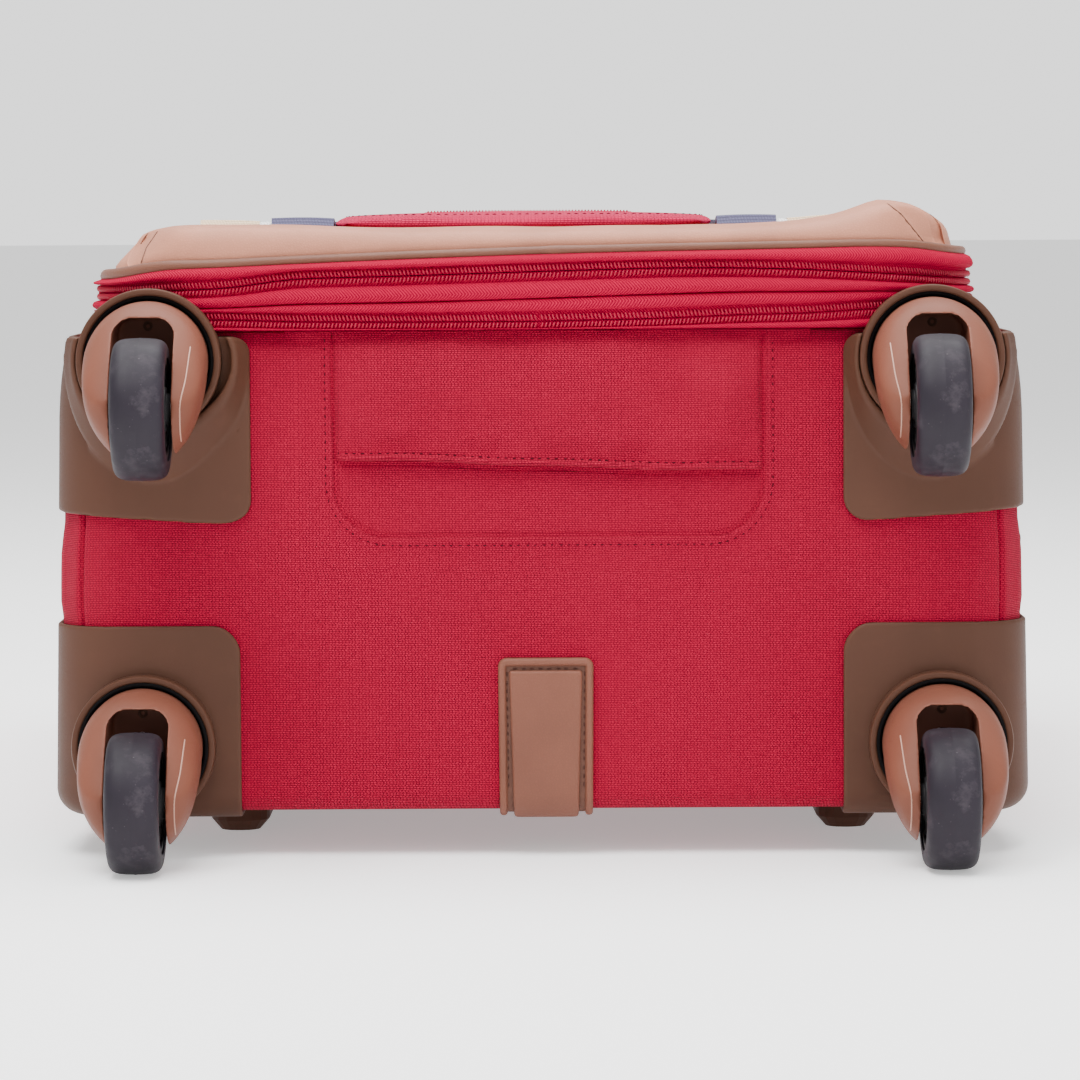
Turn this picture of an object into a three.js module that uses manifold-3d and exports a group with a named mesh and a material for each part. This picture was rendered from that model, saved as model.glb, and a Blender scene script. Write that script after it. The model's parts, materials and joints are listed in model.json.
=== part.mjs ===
// A soft-sided cabin suitcase on four swivel casters, lying on its back.
//
// Millimetres. +Z is up and is the way the lid faces, -Y is the way the wheels face (down, when the
// case is rolled), and X is across the case. Left is -X and right is +X. Front pieces are those next to
// the lid and rear pieces those next to the back.
import * as THREE from "three";
import { mergeVertices } from "three/addons/utils/BufferGeometryUtils.js";
import Module from "manifold-3d";

const wasm = await Module();
wasm.setup();

// ---- Driving dimensions ----
const gap = 0.3; // between pieces that touch
const caseSide = 176; // half the width of the fabric case, at the back
const caseLean = 3; // how far each side wall leans in by its front edge
const caseBottom = -208; // Y of the wheel end's face
const caseTop = 255; // Y of the handle end's face
const caseBack = 16.5; // Z of the back's face
const caseFront = 190.5; // Z where the walls end and the rim starts
const caseCorner = 22; // radius of the four edges that run along Z
const backEdge = 7; // radius of the edges round the back
const wall = 4; // fabric, board and lining together

const frontSide = 166; // half the width of the zipped front section
const frontBottom = -211.5;
const frontTop = 256;
const frontCorner = 45;
const expansionZip = 195.4; // Z of the seam that the expansion zip closes
const mainZip = 208.8; // Z of the seam that the main zip closes
const lidFace = 226; // Z of the lid's flat face
const sleeveInset = 14; // from the front outline to the folded gusset inside it

const rearCasterX = 144; // swivel axes, from the case's middle
const frontCasterX = 140.5;
const rearCasterZ = 41.3;
const frontCasterZ = 180.7;
const casterSeat = -213.5; // Y of the fork's top face
const wheelRadius = 25;
const wheelWidth = 21;
const wheelDrop = 36.5; // hub centre, below the fork's top face
const wheelTrail = 16; // hub centre, behind the swivel axis
const forkRadius = 22.3;
const collarRadius = 26;
const axleRadius = 3;
const pinRadius = 3.5;

const tubeX = 70; // trolley tubes, from the case's middle
const tubeZ = 36;
const tubeFoot = -190;
const tubeMouth = 231;

// ---- Materials ----
const finish = (color, roughness, metalness = 0) =>
  new THREE.MeshStandardMaterial({ color, roughness, metalness });
const redFabric = finish(0xb8253e, 0.85);
const redBinding = finish(0xcb2a45, 0.8);
const lining = finish(0x3a3532, 0.9);
const brownLeather = finish(0xa87562, 0.6);
const brownPlastic = finish(0x7b4f40, 0.5);
const forkPlastic = finish(0x9c6a57, 0.45);
const greyRubber = finish(0x5b555f, 0.7);
const blackPlastic = finish(0x201e20, 0.5);
const webbing = finish(0x2b2f4e, 0.9);
const steel = finish(0xb9bbbe, 0.3, 1);
const aluminium = finish(0xc4c6c9, 0.35, 1);

// ---- Shape helpers ----

// Points of a rounded rectangle, anticlockwise from its lower right corner. radii: one for all the
// corners, or [lower right, upper right, upper left, lower left].
function roundedRect(x0, y0, x1, y1, radii, steps = 4) {
  const r = Array.isArray(radii) ? radii : [radii, radii, radii, radii];
  const centres = [
    [x1 - r[0], y0 + r[0]],
    [x1 - r[1], y1 - r[1]],
    [x0 + r[2], y1 - r[2]],
    [x0 + r[3], y0 + r[3]],
  ];
  return centres.flatMap(([cx, cy], corner) => {
    const count = r[corner] > 0 ? steps : 0;
    return Array.from({ length: count + 1 }, (_, i) => {
      const angle = ((corner - 1 + i / Math.max(count, 1)) * Math.PI) / 2;
      return new THREE.Vector2(cx + r[corner] * Math.cos(angle), cy + r[corner] * Math.sin(angle));
    });
  });
}

const X = new THREE.Vector3(1, 0, 0);
const Y = new THREE.Vector3(0, 1, 0);
const Z = new THREE.Vector3(0, 0, 1);

function toSolid(geometry) {
  const bare = geometry.index ? geometry.toNonIndexed() : geometry.clone();
  bare.deleteAttribute("normal");
  bare.deleteAttribute("uv");
  const merged = mergeVertices(bare, 1e-3);
  return new wasm.Manifold(
    new wasm.Mesh({
      numProp: 3,
      vertProperties: merged.attributes.position.array,
      triVerts: new Uint32Array(merged.index.array),
    }),
  );
}

function toGeometry(solid) {
  const mesh = solid.getMesh();
  return new THREE.BufferGeometry()
    .setAttribute("position", new THREE.BufferAttribute(mesh.vertProperties, 3))
    .setIndex(new THREE.BufferAttribute(mesh.triVerts, 1));
}

// A prism. Its outline is in (x, y) along Z, in (x, z) along Y and in (y, z) along X.
function prism(axis, outline, from, to) {
  const geometry = new THREE.ExtrudeGeometry(new THREE.Shape(outline), {
    depth: to - from,
    bevelEnabled: false,
  });
  if (axis === "x") geometry.applyMatrix4(new THREE.Matrix4().makeBasis(Y, Z, X)).translate(from, 0, 0);
  if (axis === "y") geometry.rotateX(Math.PI / 2).translate(0, to, 0);
  if (axis === "z") geometry.translate(0, 0, from);
  return toSolid(geometry);
}

const block = (x0, x1, y0, y1, z0, z1) =>
  toSolid(
    new THREE.BoxGeometry(x1 - x0, y1 - y0, z1 - z0).translate((x0 + x1) / 2, (y0 + y1) / 2, (z0 + z1) / 2),
  );

// A cylinder along an axis, centred on (a, b) in the plane across it.
function rod(axis, radius, a, b, from, to, sides = 20) {
  const outline = Array.from({ length: sides }, (_, i) => {
    const angle = (i / sides) * 2 * Math.PI;
    return new THREE.Vector2(a + radius * Math.cos(angle), b + radius * Math.sin(angle));
  });
  return prism(axis, outline, from, to);
}

// A solid through rings of equally many points, each an array of Vector3, closed by flat ends.
function loft(rings) {
  const count = rings[0].length;
  const last = rings.length - 1;
  const position = rings.flat().flatMap((p) => [p.x, p.y, p.z]);
  const middle = (ring) => ring.reduce((sum, p) => sum.add(p), new THREE.Vector3()).divideScalar(count);
  position.push(...middle(rings[0]).toArray(), ...middle(rings[last]).toArray());
  const foot = rings.length * count;
  const index = [];
  for (let i = 0; i < count; i++) {
    const next = (i + 1) % count;
    for (let k = 0; k < last; k++) {
      const a = k * count + i;
      const b = k * count + next;
      index.push(a, b, b + count, a, b + count, a + count);
    }
    index.push(foot, next, i, foot + 1, last * count + i, last * count + next);
  }
  return toSolid(
    new THREE.BufferGeometry()
      .setAttribute("position", new THREE.Float32BufferAttribute(position, 3))
      .setIndex(index),
  );
}

// A solid turned about X or Y. The profile is [distance along the axis, radius] pairs, and closes on itself.
function turned(axis, profile, sides) {
  const points = [...profile, profile[0]].map(([along, radius]) => new THREE.Vector2(radius, along));
  if (THREE.ShapeUtils.area(points) < 0) points.reverse();
  const geometry = new THREE.LatheGeometry(points, sides);
  if (axis === "x") geometry.rotateZ(-Math.PI / 2);
  return toSolid(geometry);
}

// A rounded slab built of outlines at heights. Each row is [z, inset from the outline, and any further
// inset of the two sides].
function stack(x0, y0, x1, y1, radius, rows, steps) {
  return loft(
    rows.map(([z, inset, lean = 0]) => {
      const round = Math.max(radius - inset, 1);
      const side = inset + lean;
      return roundedRect(x0 + side, y0 + inset, x1 - side, y1 - inset, round, steps).map(
        (p) => new THREE.Vector3(p.x, p.y, z),
      );
    }),
  );
}

const suitcase = new THREE.Group();
function addPiece(parent, name, solid, material) {
  const mesh = new THREE.Mesh(toGeometry(solid), material);
  mesh.name = name;
  parent.add(mesh);
}

// ---- The case: five sewn panels, cut from one rounded shell ----

// The outside of the case, grown by a distance, and open-ended past the rim when top is raised.
function caseOutside(grow, top = caseFront) {
  const radius = backEdge + grow;
  const fillet = [0, 0.35, 0.7, 1].map((turn) => {
    const angle = (turn * Math.PI) / 2;
    return [caseBack + backEdge - radius * Math.cos(angle), radius * (1 - Math.sin(angle))];
  });
  const foot = caseBack + backEdge;
  const lean = (caseLean * (top - foot)) / (caseFront - foot);
  return stack(
    -caseSide - grow,
    caseBottom - grow,
    caseSide + grow,
    caseTop + grow,
    caseCorner + grow,
    [...fillet, [top, 0, lean]],
    5,
  );
}

const shell = caseOutside(0).subtract(caseOutside(-wall, caseFront + 20));
const seamZ = caseBack + wall + gap; // between the back panel and the walls
const endSeam = caseCorner; // the end panels turn the corners

const casters = [
  { name: "front_left", x: -frontCasterX, z: frontCasterZ },
  { name: "front_right", x: frontCasterX, z: frontCasterZ },
  { name: "rear_left", x: -rearCasterX, z: rearCasterZ },
  { name: "rear_right", x: rearCasterX, z: rearCasterZ },
];

const collarSpigot = 9.5; // radius of the boss that goes through the panel
function bottomPanel() {
  const panel = shell.intersect(block(-200, 200, caseBottom - 1, caseBottom + endSeam, seamZ, 200));
  return casters.reduce(
    (solid, c) =>
      solid.subtract(rod("y", collarSpigot + gap, c.x, c.z, caseBottom - 1, caseBottom + wall + 1)),
    panel,
  );
}

// A lug that holds one end of a carry handle, and the blind hole in it for the handle's pin. side is the
// way from the handle's middle to the lug.
const lugReach = 13;
const pivotHeight = 7; // handle pivots, above the panel
const handlePin = 3;
function lug(axis, centre, side, lugAcross, height) {
  const lobe = 6;
  const face = axis === "y" ? caseTop : caseSide;
  const across = axis === "y" ? "x" : "y";
  const outline = roundedRect(face - 3.5, height - lobe, face + lugReach, height + lobe, [lobe, lobe, 0, 0]);
  const span = (near, far) => [near, far].map((d) => centre + side * (lugAcross + d)).sort((p, q) => p - q);
  return {
    body: prism(across, outline, ...span(-5, 5)),
    hole: rod(across, handlePin + gap, face + pivotHeight, height, ...span(-6, 3.3), 16),
  };
}

// A carry handle that hangs flat from two lugs: a padded bar on two arms, with a pin on each arm.
// Its outline is drawn across the panel, and its thickness stands off from the panel.
const armReach = 34; // from the pivots to the middle of the bar
const barHalf = 8;
function handleOutline(centre, halfSpan, pivotZ) {
  const outer = roundedRect(
    centre - halfSpan,
    pivotZ - armReach - barHalf,
    centre + halfSpan,
    pivotZ + 5,
    [16, 4, 4, 16],
  );
  const hole = roundedRect(
    centre - halfSpan + 10,
    pivotZ - armReach + barHalf,
    centre + halfSpan - 10,
    pivotZ + 30,
    [9, 0, 0, 9],
  );
  return { outer, hole };
}

const topHandle = { centre: 0, lugAcross: 66, pivotZ: 122 };
const sideHandle = { centre: 20, lugAcross: 72, pivotZ: 104 };
const handleHalfThickness = 4.6;

function carryHandle(axis, handle) {
  const inner = handle.lugAcross - 6; // arms stand just inside the lugs
  const { outer, hole } = handleOutline(handle.centre, inner, handle.pivotZ);
  const base = axis === "y" ? caseTop + pivotHeight : caseSide + pivotHeight;
  const low = base - handleHalfThickness;
  const high = base + handleHalfThickness;
  const bail = prism(axis, outer, low, high).subtract(prism(axis, hole, low - 1, high + 1));
  const across = axis === "y" ? "x" : "y";
  return [-1, 1].reduce((solid, side) => {
    const near = handle.centre + side * (inner - 2);
    const far = handle.centre + side * (handle.lugAcross + 2.8);
    const pin = rod(across, handlePin, base, handle.pivotZ, Math.min(near, far), Math.max(near, far), 16);
    return solid.add(pin);
  }, bail);
}

function withLugs(panel, axis, handle) {
  return [-1, 1].reduce((solid, side) => {
    const { body, hole } = lug(axis, handle.centre, side, handle.lugAcross, handle.pivotZ);
    return solid.add(body).subtract(hole);
  }, panel);
}

// The bezel's pocket holds the trolley grip.
const pocketHalf = 89;
const pocketLow = tubeZ - 10.5;
const pocketHigh = tubeZ + 10.5;
const bezelWall = 2;
function topPanel() {
  const panel = shell
    .intersect(block(-200, 200, caseTop - endSeam, caseTop + 1, seamZ, 200))
    .subtract(
      block(
        -pocketHalf - bezelWall - gap,
        pocketHalf + bezelWall + gap,
        caseTop - wall - 1,
        caseTop + 1,
        pocketLow - bezelWall - gap,
        pocketHigh + bezelWall + gap,
      ),
    );
  return withLugs(panel, "y", topHandle);
}

function sidePanel(side) {
  const [x0, x1] = side < 0 ? [-200, 0] : [0, 200];
  const panel = shell.intersect(
    block(x0, x1, caseBottom + endSeam + gap, caseTop - endSeam - gap, seamZ, 200),
  );
  return side < 0 ? panel : withLugs(panel, "x", sideHandle);
}

// The rim closes the walls and carries the lower half of the expansion zip.
const frontOutline = (rows) => stack(-frontSide, frontBottom, frontSide, frontTop, frontCorner, rows, 6);
function caseRim() {
  const low = caseFront + gap;
  const high = expansionZip - gap;
  const side = caseSide - caseLean;
  const shoulder = stack(-side, caseBottom, side, caseTop, caseCorner, [[low, 0], [low + 2.4, 3]], 7);
  const hole = frontOutline([[low - 1, sleeveInset - 0.6], [high + 1, sleeveInset - 0.6]]);
  return shoulder.add(frontOutline([[low, 0.4], [high, 0.4]])).subtract(hole);
}

// The padded floor that covers the trolley tubes inside.
const liningFloor = () => prism("z", roundedRect(-168, -199.5, 168, 229, 16, 3), 46, 48);

function pocketPatch() {
  const low = 113;
  const mouth = 142;
  const high = 188.5;
  const face = caseBottom - gap;
  const backing = prism("y", roundedRect(-79.5, low, 79.5, high, [22, 0, 0, 22], 6), face - 1.2, face);
  return backing.add(block(-77, 77, face - 2.2, face - 0.6, mouth, high));
}

// A leather tab sewn to the wheel end that turns the back edge: a base with a narrower strap over it.
function leatherTab() {
  const bendY = caseBottom + backEdge;
  const bendZ = caseBack + backEdge;
  const band = (inner, outer, halfWidth, top, end) => {
    const shape = new THREE.Shape();
    shape.moveTo(bendY - inner, top);
    shape.absarc(bendY, bendZ, inner, Math.PI, 1.5 * Math.PI, false);
    shape.lineTo(end, bendZ - inner);
    shape.lineTo(end, bendZ - outer);
    shape.absarc(bendY, bendZ, outer, 1.5 * Math.PI, Math.PI, true);
    shape.lineTo(bendY - outer, top);
    return prism("x", shape.extractPoints(6).shape, -halfWidth, halfWidth);
  };
  const base = backEdge + gap;
  const patch = band(base, base + 2.4, 17, 72.5, -160);
  return patch.add(band(base + 1, base + 4.6, 12.5, 67, -166));
}

function skidRail(side) {
  const x = side * 115;
  return stack(x - 11, -136, x + 11, 235, 10, [[0, 3.5], [4, 0], [caseBack - gap, 0]], 4);
}

// ---- Corner guards ----
const guardThickness = 2;
const guardSize = 68;
const guardInner = caseSide + guardThickness - guardSize - 1; // X of the guard's inner edge
function cornerGuard(caster) {
  const side = Math.sign(caster.x);
  const front = caster.z === frontCasterZ;
  const low = front ? caseFront - 1.3 - guardSize : caseBack - 10;
  const high = front ? caseFront - 1.3 : caseBack - guardThickness + guardSize;
  const [xa, xb] = side < 0 ? [-200, -guardInner] : [guardInner, 200];
  // Corner radii go lower right, upper right, upper left, lower left.
  const inside = side < 0 ? [0, 1] : [3, 2];
  const faceRadii = [0, 0, 0, 0];
  const sideRadii = [0, 0, 0, 0];
  faceRadii[inside[0]] = front ? 14 : 0;
  faceRadii[inside[1]] = front ? 6 : 14;
  sideRadii[0] = front ? 14 : 0;
  sideRadii[1] = front ? 6 : 14;
  const endY = caseBottom - guardThickness + guardSize;
  const skin = caseOutside(guardThickness + gap).subtract(caseOutside(gap, caseFront + 20));
  let guard = skin
    .intersect(prism("y", roundedRect(xa, low, xb, high, faceRadii), -240, endY + 1))
    .intersect(prism("x", roundedRect(-240, low, endY, high, sideRadii), xa, xb));
  if (!front) {
    const backRadii = [0, 0, 0, 0];
    backRadii[side < 0 ? 1 : 2] = 14;
    guard = guard.intersect(prism("z", roundedRect(xa, -240, xb, endY, backRadii), -10, 200));
  }
  if (front) guard = guard.add(fairing(caster));
  const bore = (front ? collarRadius : collarSpigot) + gap;
  const deep = rod("y", collarSpigot + gap, caster.x, caster.z, -240, caseBottom + 1);
  return guard.subtract(deep).subtract(rod("y", bore, caster.x, caster.z, -240, front ? collarBack + gap : caseBottom + 1, 28));
}

// The raised egg-shaped seat that carries the front guard out to its collar.
const collarBack = casterSeat + 2.9; // Y of the back of the collar flange
function fairing(caster) {
  const sides = 24;
  const egg = (y, halfWidth, below) =>
    Array.from({ length: sides }, (_, i) => {
      const angle = (i / sides) * 2 * Math.PI;
      const reach = Math.sin(angle) < 0 ? below : halfWidth;
      return new THREE.Vector3(
        caster.x + halfWidth * Math.cos(angle),
        y,
        caster.z + reach * Math.sin(angle),
      );
    });
  const foot = caseBottom - gap - 0.4;
  const rings = [egg(foot, 31, 44), egg(foot - 2.6, 30.5, 43), egg(foot - 6.5, 28.6, 36), egg(foot - 9, 27.4, 30)];
  return loft(rings).intersect(block(-200, 200, -240, -200, 0, caseFront - 1.3));
}

// ---- Casters: built round the swivel axis, with the fork's top face at y = 0 and outwards as -y ----
const pinHole = pinRadius + gap;
const collarRimInner = forkRadius + 1.5;
function collar(front) {
  const rim = front ? -6 : -4;
  const back = 2.9;
  const inside = caseBottom + wall + 0.6 - casterSeat;
  const cup = turned(
    "y",
    [
      [inside, pinHole],
      [gap, pinHole],
      [gap, collarRimInner],
      [rim, collarRimInner],
      [rim, collarRadius - 0.8],
      [rim + 0.8, collarRadius],
      [back, collarRadius],
      [back, collarSpigot],
      [inside, collarSpigot],
    ],
    24,
  );
  if (!front) return cup;
  // The rim stands out past the case's front edge, over the zipped section.
  const edge = caseFront - frontCasterZ;
  return cup.subtract(block(-40, 40, -0.2, 20, edge, 40));
}

function swivelPin() {
  const inside = caseBottom + wall + 0.9 - casterSeat;
  const plate = 3.2;
  return turned(
    "y",
    [
      [inside + 3, 0],
      [inside + 3, 6],
      [inside, 6],
      [inside, pinRadius],
      [-plate - gap, pinRadius],
      [-plate - gap, 6],
      [-plate - 2, 4.5],
      [-plate - 2, 0],
    ],
    12,
  );
}

// Fork outlines at distances from its top face: [distance, centre, reach ahead, reach behind, half width].
const forkRings = [
  [0, 0, forkRadius, forkRadius, forkRadius],
  [6.6, 0, forkRadius, forkRadius, forkRadius],
  [7, 0, forkRadius, 31, forkRadius],
  [12, 0, 21.8, 36, 22.8],
  [20, -1, 19.5, 36, 22.8],
  [28, -5, 17, 31, 22.3],
  [35, -9, 13, 25, 21.2],
  [41, -13, 8, 17, 19.4],
  [44, -14, 4.5, 11, 17],
];
const slotHalf = wheelWidth / 2 + 1.2;
function fork() {
  const sides = 20;
  const hood = loft(
    forkRings.map(([drop, centre, ahead, behind, halfWidth]) =>
      Array.from({ length: sides }, (_, i) => {
        const angle = (i / sides) * 2 * Math.PI;
        const reach = Math.sin(angle) < 0 ? behind : ahead;
        return new THREE.Vector3(halfWidth * Math.cos(angle), -drop, centre + reach * Math.sin(angle));
      }),
    ),
  );
  const arch = roundedRect(-slotHalf, -60, slotHalf, 15, [0, 9, 9, 0]);
  const axleEnd = 18.8;
  return hood
    .subtract(prism("y", arch, -70, -3.2))
    .subtract(rod("y", pinHole, 0, 0, -10, 1, 16))
    .subtract(rod("x", axleRadius + 0.2, -wheelDrop, -wheelTrail, -axleEnd, axleEnd, 16));
}

const axle = () => rod("x", axleRadius, -wheelDrop, -wheelTrail, -18.5, 18.5, 16);

const tyreBore = 18.3;
function tyre() {
  const half = wheelWidth / 2;
  const r = wheelRadius;
  const shoulder = [
    [half, tyreBore],
    [half, r - 3],
    [half - 1.2, r - 0.8],
    [half - 4, r],
  ];
  const mirrored = shoulder.map(([along, radius]) => [-along, radius]).reverse();
  return turned("x", [...shoulder, ...mirrored], 28);
}

function hub() {
  const bore = axleRadius + gap;
  const rimRadius = tyreBore - gap;
  const face = [
    [9.3, bore],
    [9.3, 8],
    [6, 9.5],
    [6, 15],
    [8.8, 16],
    [8.8, rimRadius],
  ];
  const mirrored = face.map(([along, radius]) => [-along, radius]).reverse();
  return turned("x", [...face, ...mirrored], 18);
}

// ---- Trolley: three nested tubes a side, the grip and its button ----
const tubeSection = (x, halfX, halfZ, radius) =>
  roundedRect(x - halfX, tubeZ - halfZ, x + halfX, tubeZ + halfZ, radius, 3);
function tube(x, halfX, halfZ, thickness, from, to) {
  return prism("y", tubeSection(x, halfX, halfZ, 3.2), from, to).subtract(
    prism("y", tubeSection(x, halfX - thickness, halfZ - thickness, 2.2), from - 1, to + 1),
  );
}

const gripLow = tubeMouth + 9;
const gripHigh = caseTop + 7;
function bezel() {
  const flangeFoot = caseTop + gap;
  const flange = prism(
    "y",
    roundedRect(-pocketHalf - 9, pocketLow - 5, pocketHalf + 9, pocketHigh + 6, 6, 3),
    flangeFoot,
    flangeFoot + 2.5,
  );
  const box = block(
    -pocketHalf - bezelWall,
    pocketHalf + bezelWall,
    tubeMouth + gap,
    flangeFoot + 0.5,
    pocketLow - bezelWall,
    pocketHigh + bezelWall,
  );
  const pocket = prism(
    "y",
    roundedRect(-pocketHalf, pocketLow, pocketHalf, pocketHigh, 6),
    tubeMouth + gap + 2,
    caseTop + 10,
  );
  return [-1, 1].reduce(
    (solid, side) =>
      solid.subtract(prism("y", tubeSection(side * tubeX, 9.9, 5.9, 3), tubeMouth - 1, tubeMouth + 4)),
    flange.add(box).subtract(pocket),
  );
}

const buttonHalf = [15, 5];
function grip() {
  const rows = [
    [gripLow, 1.5],
    [gripLow + 3, 0],
    [gripHigh - 5, 0],
    [gripHigh - 1.5, 1.5],
    [gripHigh, 4],
  ];
  const bar = loft(
    rows.map(([y, inset]) =>
      roundedRect(-pocketHalf + 1.5 + inset, tubeZ - 9.2 + inset, pocketHalf - 1.5 - inset, tubeZ + 9.2 - inset, 5, 3)
        .map((p) => new THREE.Vector3(p.x, y, p.y))
        .reverse(),
    ),
  );
  const well = prism(
    "y",
    roundedRect(-buttonHalf[0] - gap, tubeZ - buttonHalf[1] - gap, buttonHalf[0] + gap, tubeZ + buttonHalf[1] + gap, 4),
    gripHigh - 13,
    gripHigh + 1,
  );
  return bar.subtract(well);
}

const releaseButton = () =>
  prism(
    "y",
    roundedRect(-buttonHalf[0], tubeZ - buttonHalf[1], buttonHalf[0], tubeZ + buttonHalf[1], 3.7),
    gripHigh - 9,
    gripHigh + 1.5,
  );

// ---- Front section: the expanding band, then the lid on it ----
function expanderBand() {
  const low = expansionZip;
  const high = mainZip - gap;
  const band = frontOutline([[low, 0], [high, 0]]);
  const hollow = frontOutline([[low - 1, 3], [high - 3, 3]]);
  const sleeve = frontOutline([[154, sleeveInset], [high - 2, sleeveInset]]);
  const opening = frontOutline([[150, sleeveInset + 1.6], [high + 1, sleeveInset + 1.6]]);
  return band.subtract(hollow).add(sleeve).subtract(opening);
}

// The padded lid, grown by a distance: a low crown with rounded edges.
const lidRows = [
  [mainZip, 0],
  [mainZip + 5, 0.5],
  [mainZip + 10, 3.5],
  [lidFace - 3, 8],
  [lidFace, 16],
];
const lidOutside = (grow) =>
  frontOutline(lidRows.map(([z, inset], i) => [z + (i < 2 ? 0 : grow), inset - grow]));

const trimEnd = -150; // Y where the leather boot on the lid ends
const trimFoot = mainZip + 5.7;
function frontTrim() {
  return lidOutside(1.8)
    .subtract(lidOutside(gap))
    .intersect(block(-200, 200, -240, trimEnd, trimFoot, 260));
}

const frontStrap = (side) =>
  block(
    side < 0 ? -134 : 77,
    side < 0 ? -77 : 134,
    trimEnd + gap,
    240,
    lidFace + gap,
    lidFace + gap + 1.5,
  );

const frontPocket = () =>
  stack(-73, trimEnd + 5, 73, 190, 14, [
    [lidFace + gap, 0],
    [lidFace + 2.5, 0],
    [lidFace + 5.5, 4],
    [lidFace + 7, 12],
  ], 5);

// ---- Zip sliders ----
const mainSliderY = 150;
const pullPinX = frontSide + 10;
function mainSlider() {
  const face = frontSide + 0.4;
  const body = prism("x", roundedRect(mainSliderY - 7, mainZip - 4.6, mainSliderY + 7, mainZip + 4.6, 2.5), face, face + 5);
  const ear = (side) =>
    block(
      face + 4,
      pullPinX + 1.8,
      mainSliderY + (side < 0 ? -6 : 4.6),
      mainSliderY + (side < 0 ? -4.6 : 6),
      mainZip - 1.8,
      mainZip + 1.8,
    );
  return body
    .add(ear(-1))
    .add(ear(1))
    .add(rod("y", 0.8, pullPinX, mainZip, mainSliderY - 5, mainSliderY + 5, 10));
}

function mainPull() {
  const outline = roundedRect(mainSliderY - 4.2, mainZip - 32, mainSliderY + 4.2, mainZip + 2, 1.8);
  const leaf = prism("x", outline, pullPinX - 1.8, pullPinX + 1.8);
  const thin = prism("x", roundedRect(mainSliderY - 9, mainZip - 40, mainSliderY + 9, mainZip - 4, 0), pullPinX + 0.9, pullPinX + 9);
  return leaf.subtract(thin).subtract(rod("y", 1.2, pullPinX, mainZip, mainSliderY - 9, mainSliderY + 9, 10));
}

const expansionSliderX = 90;
function expansionSlider() {
  const face = frontTop + 0.4;
  const x = expansionSliderX;
  const body = prism("y", roundedRect(x - 6, expansionZip - 4.2, x + 6, expansionZip + 4.2, 2), face, face + 4.5);
  return body.add(prism("y", roundedRect(x - 3.2, expansionZip - 28, x + 3.2, expansionZip + 1.5, 1.5), face + 4, face + 5.8));
}

// ---- Assembly ----
addPiece(suitcase, "back_panel", shell.intersect(block(-200, 200, -300, 300, 0, seamZ - gap)), redFabric);
addPiece(suitcase, "bottom_panel", bottomPanel(), redFabric);
addPiece(suitcase, "top_panel", topPanel(), redFabric);
addPiece(suitcase, "left_panel", sidePanel(-1), redFabric);
addPiece(suitcase, "right_panel", sidePanel(1), redFabric);
addPiece(suitcase, "case_rim", caseRim(), redBinding);
addPiece(suitcase, "lining_floor", liningFloor(), lining);
addPiece(suitcase, "bottom_pocket", pocketPatch(), redFabric);
addPiece(suitcase, "leather_tab", leatherTab(), brownLeather);
addPiece(suitcase, "skid_rail_left", skidRail(-1), blackPlastic);
addPiece(suitcase, "skid_rail_right", skidRail(1), blackPlastic);

for (const caster of casters) {
  addPiece(suitcase, `corner_guard_${caster.name}`, cornerGuard(caster), brownPlastic);
  const group = new THREE.Group();
  group.position.set(caster.x, casterSeat, caster.z);
  addPiece(group, `caster_collar_${caster.name}`, collar(caster.z === frontCasterZ), forkPlastic);
  addPiece(group, `swivel_pin_${caster.name}`, swivelPin(), steel);
  addPiece(group, `fork_${caster.name}`, fork(), forkPlastic);
  addPiece(group, `axle_${caster.name}`, axle(), steel);
  const wheel = new THREE.Group();
  wheel.position.set(0, -wheelDrop, -wheelTrail);
  addPiece(wheel, `wheel_hub_${caster.name}`, hub(), blackPlastic);
  addPiece(wheel, `tyre_${caster.name}`, tyre(), greyRubber);
  group.add(wheel);
  suitcase.add(group);
}

for (const [side, name] of [[-1, "left"], [1, "right"]]) {
  const x = side * tubeX;
  addPiece(suitcase, `trolley_outer_tube_${name}`, tube(x, 11, 7, 1.1, tubeFoot, tubeMouth), aluminium);
  addPiece(suitcase, `trolley_middle_tube_${name}`, tube(x, 9.6, 5.6, 1.1, tubeFoot + 5, tubeMouth + 5), aluminium);
  addPiece(suitcase, `trolley_inner_tube_${name}`, tube(x, 8.2, 4.2, 1, tubeFoot + 10, gripLow - gap), aluminium);
  addPiece(suitcase, `front_strap_${name}`, frontStrap(side), webbing);
}
addPiece(suitcase, "trolley_bezel", bezel(), brownPlastic);
addPiece(suitcase, "trolley_grip", grip(), brownPlastic);
addPiece(suitcase, "release_button", releaseButton(), blackPlastic);

addPiece(suitcase, "expander_band", expanderBand(), redBinding);
addPiece(suitcase, "lid_panel", lidOutside(0), redFabric);
addPiece(suitcase, "front_trim", frontTrim(), brownLeather);
addPiece(suitcase, "front_pocket", frontPocket(), redFabric);
addPiece(suitcase, "main_slider", mainSlider(), steel);
addPiece(suitcase, "main_pull", mainPull(), steel);
addPiece(suitcase, "expansion_slider", expansionSlider(), steel);
addPiece(suitcase, "top_handle", carryHandle("y", topHandle), brownLeather);
addPiece(suitcase, "side_handle", carryHandle("x", sideHandle), brownLeather);

// The origin is under the middle of the whole object's box, on the plane that it lies on.
const size = new THREE.Box3().setFromObject(suitcase);
const middle = size.getCenter(new THREE.Vector3());
suitcase.position.set(-middle.x, -middle.y, -size.min.z);

export default suitcase;
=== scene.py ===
import bpy, bmesh, json, math
import numpy as np
from mathutils import Vector, Matrix, noise
from mathutils.bvhtree import BVHTree

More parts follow.
